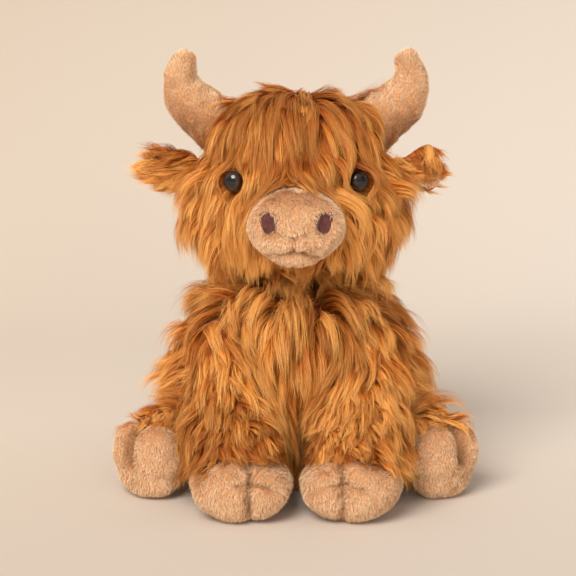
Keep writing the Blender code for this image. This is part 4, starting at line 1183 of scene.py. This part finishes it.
# Painted light and shade: the backdrop is painted lighter towards the right, and darker up the sweep and towards the
# front
def stageMaterial():
    g = Graph("backdrop", Roughness=0.9)
    across, away, height = g.axes(g.place())
    paint = g.mix((across + g.noise(2.0) * 0.05).fit(-0.5, 0.5), stageLook["left"], stageLook["right"])
    shadedPaint = g.mix(1.0, paint, stageLook["paintedShade"], "MULTIPLY")
    g.link("Base Color", g.mix(height.fit(0.0, 0.28) + away.fit(0.12, -0.22), paint, shadedPaint))
    return g.material


curve = [(stageLook["front"], 0.0)] + [
    (stageLook["start"] + stageLook["radius"] * math.sin(a), stageLook["radius"] * (1 - math.cos(a)))
    for a in np.radians(range(0, stageLook["degrees"] + 1, 2))]
verts = [(x, y, z) for y, z in curve for x in (-stageLook["half"], stageLook["half"])]
faces = [(2 * i, 2 * i + 1, 2 * i + 3, 2 * i + 2) for i in range(len(curve) - 1)]
make("backdrop", verts, faces, stageMaterial())
print("stage made")

# Light. The fill isn't mirrored in the eyes, and the glint is only mirrored
lamps = {"key": {"place": (-1.4, -2.7, 2.9), "target": (0, 0, 0.12), "size": 2.6, "power": 150,
                 "colour": (1.0, 0.98, 0.95)},
         "fill": {"place": (0.6, -3.6, 0.9), "target": (0, 0, 0.12), "size": 2.4, "power": 34,
                  "colour": (1.0, 0.98, 0.95), "hidden": "visible_glossy"},
         "glint": {"place": (-1.5, -2.5, 2.1), "target": (0, 0, 0.2), "size": 0.35, "power": 7,
                   "colour": (1.0, 1.0, 1.0), "hidden": "visible_diffuse"}}
for name, lamp in lamps.items():
    light = bpy.data.lights.new(name, "AREA")
    light.shape = "DISK"
    light.size, light.energy, light.color = lamp["size"], lamp["power"], lamp["colour"]
    thing = bpy.data.objects.new(name, light)
    thing.location = lamp["place"]
    thing.rotation_euler = (Vector(lamp["target"]) - Vector(lamp["place"])).to_track_quat("-Z", "Y").to_euler()
    if "hidden" in lamp:
        setattr(thing, lamp["hidden"], False)
    bpy.context.scene.collection.objects.link(thing)

# World: soft light, and a pale wall where the camera sees past the backdrop
worldLook = {"light": (1.0, 0.97, 0.93, 1), "strength": 0.45, "wall": (0.82, 0.71, 0.60, 1)}
world = bpy.data.worlds.new("studio")
world.use_nodes = True
nodes, links = world.node_tree.nodes, world.node_tree.links
soft, seen = nodes["Background"], nodes.new("ShaderNodeBackground")
for made, colour, strength in ((soft, worldLook["light"], worldLook["strength"]),
                               (seen, worldLook["wall"], 1.0)):
    made.inputs["Color"].default_value = colour
    made.inputs["Strength"].default_value = strength
blend = nodes.new("ShaderNodeMixShader")
links.new(nodes.new("ShaderNodeLightPath").outputs["Is Camera Ray"], blend.inputs[0])
links.new(soft.outputs[0], blend.inputs[1])
links.new(seen.outputs[0], blend.inputs[2])
links.new(blend.outputs[0], nodes["World Output"].inputs["Surface"])
bpy.context.scene.world = world

cameraLook = {"lens": 125, "sensor": 36, "place": (-0.00525, -1.3694, 0.4233), "tilt": 78}
camera = bpy.data.objects.new("camera", bpy.data.cameras.new("camera"))
camera.data.lens = cameraLook["lens"]
camera.data.sensor_width = cameraLook["sensor"]
camera.location = cameraLook["place"]
camera.rotation_euler = (math.radians(cameraLook["tilt"]), 0, 0)
bpy.context.scene.collection.objects.link(camera)
bpy.context.scene.camera = camera
bpy.context.scene.view_settings.view_transform = "Standard"
print("light and camera made")
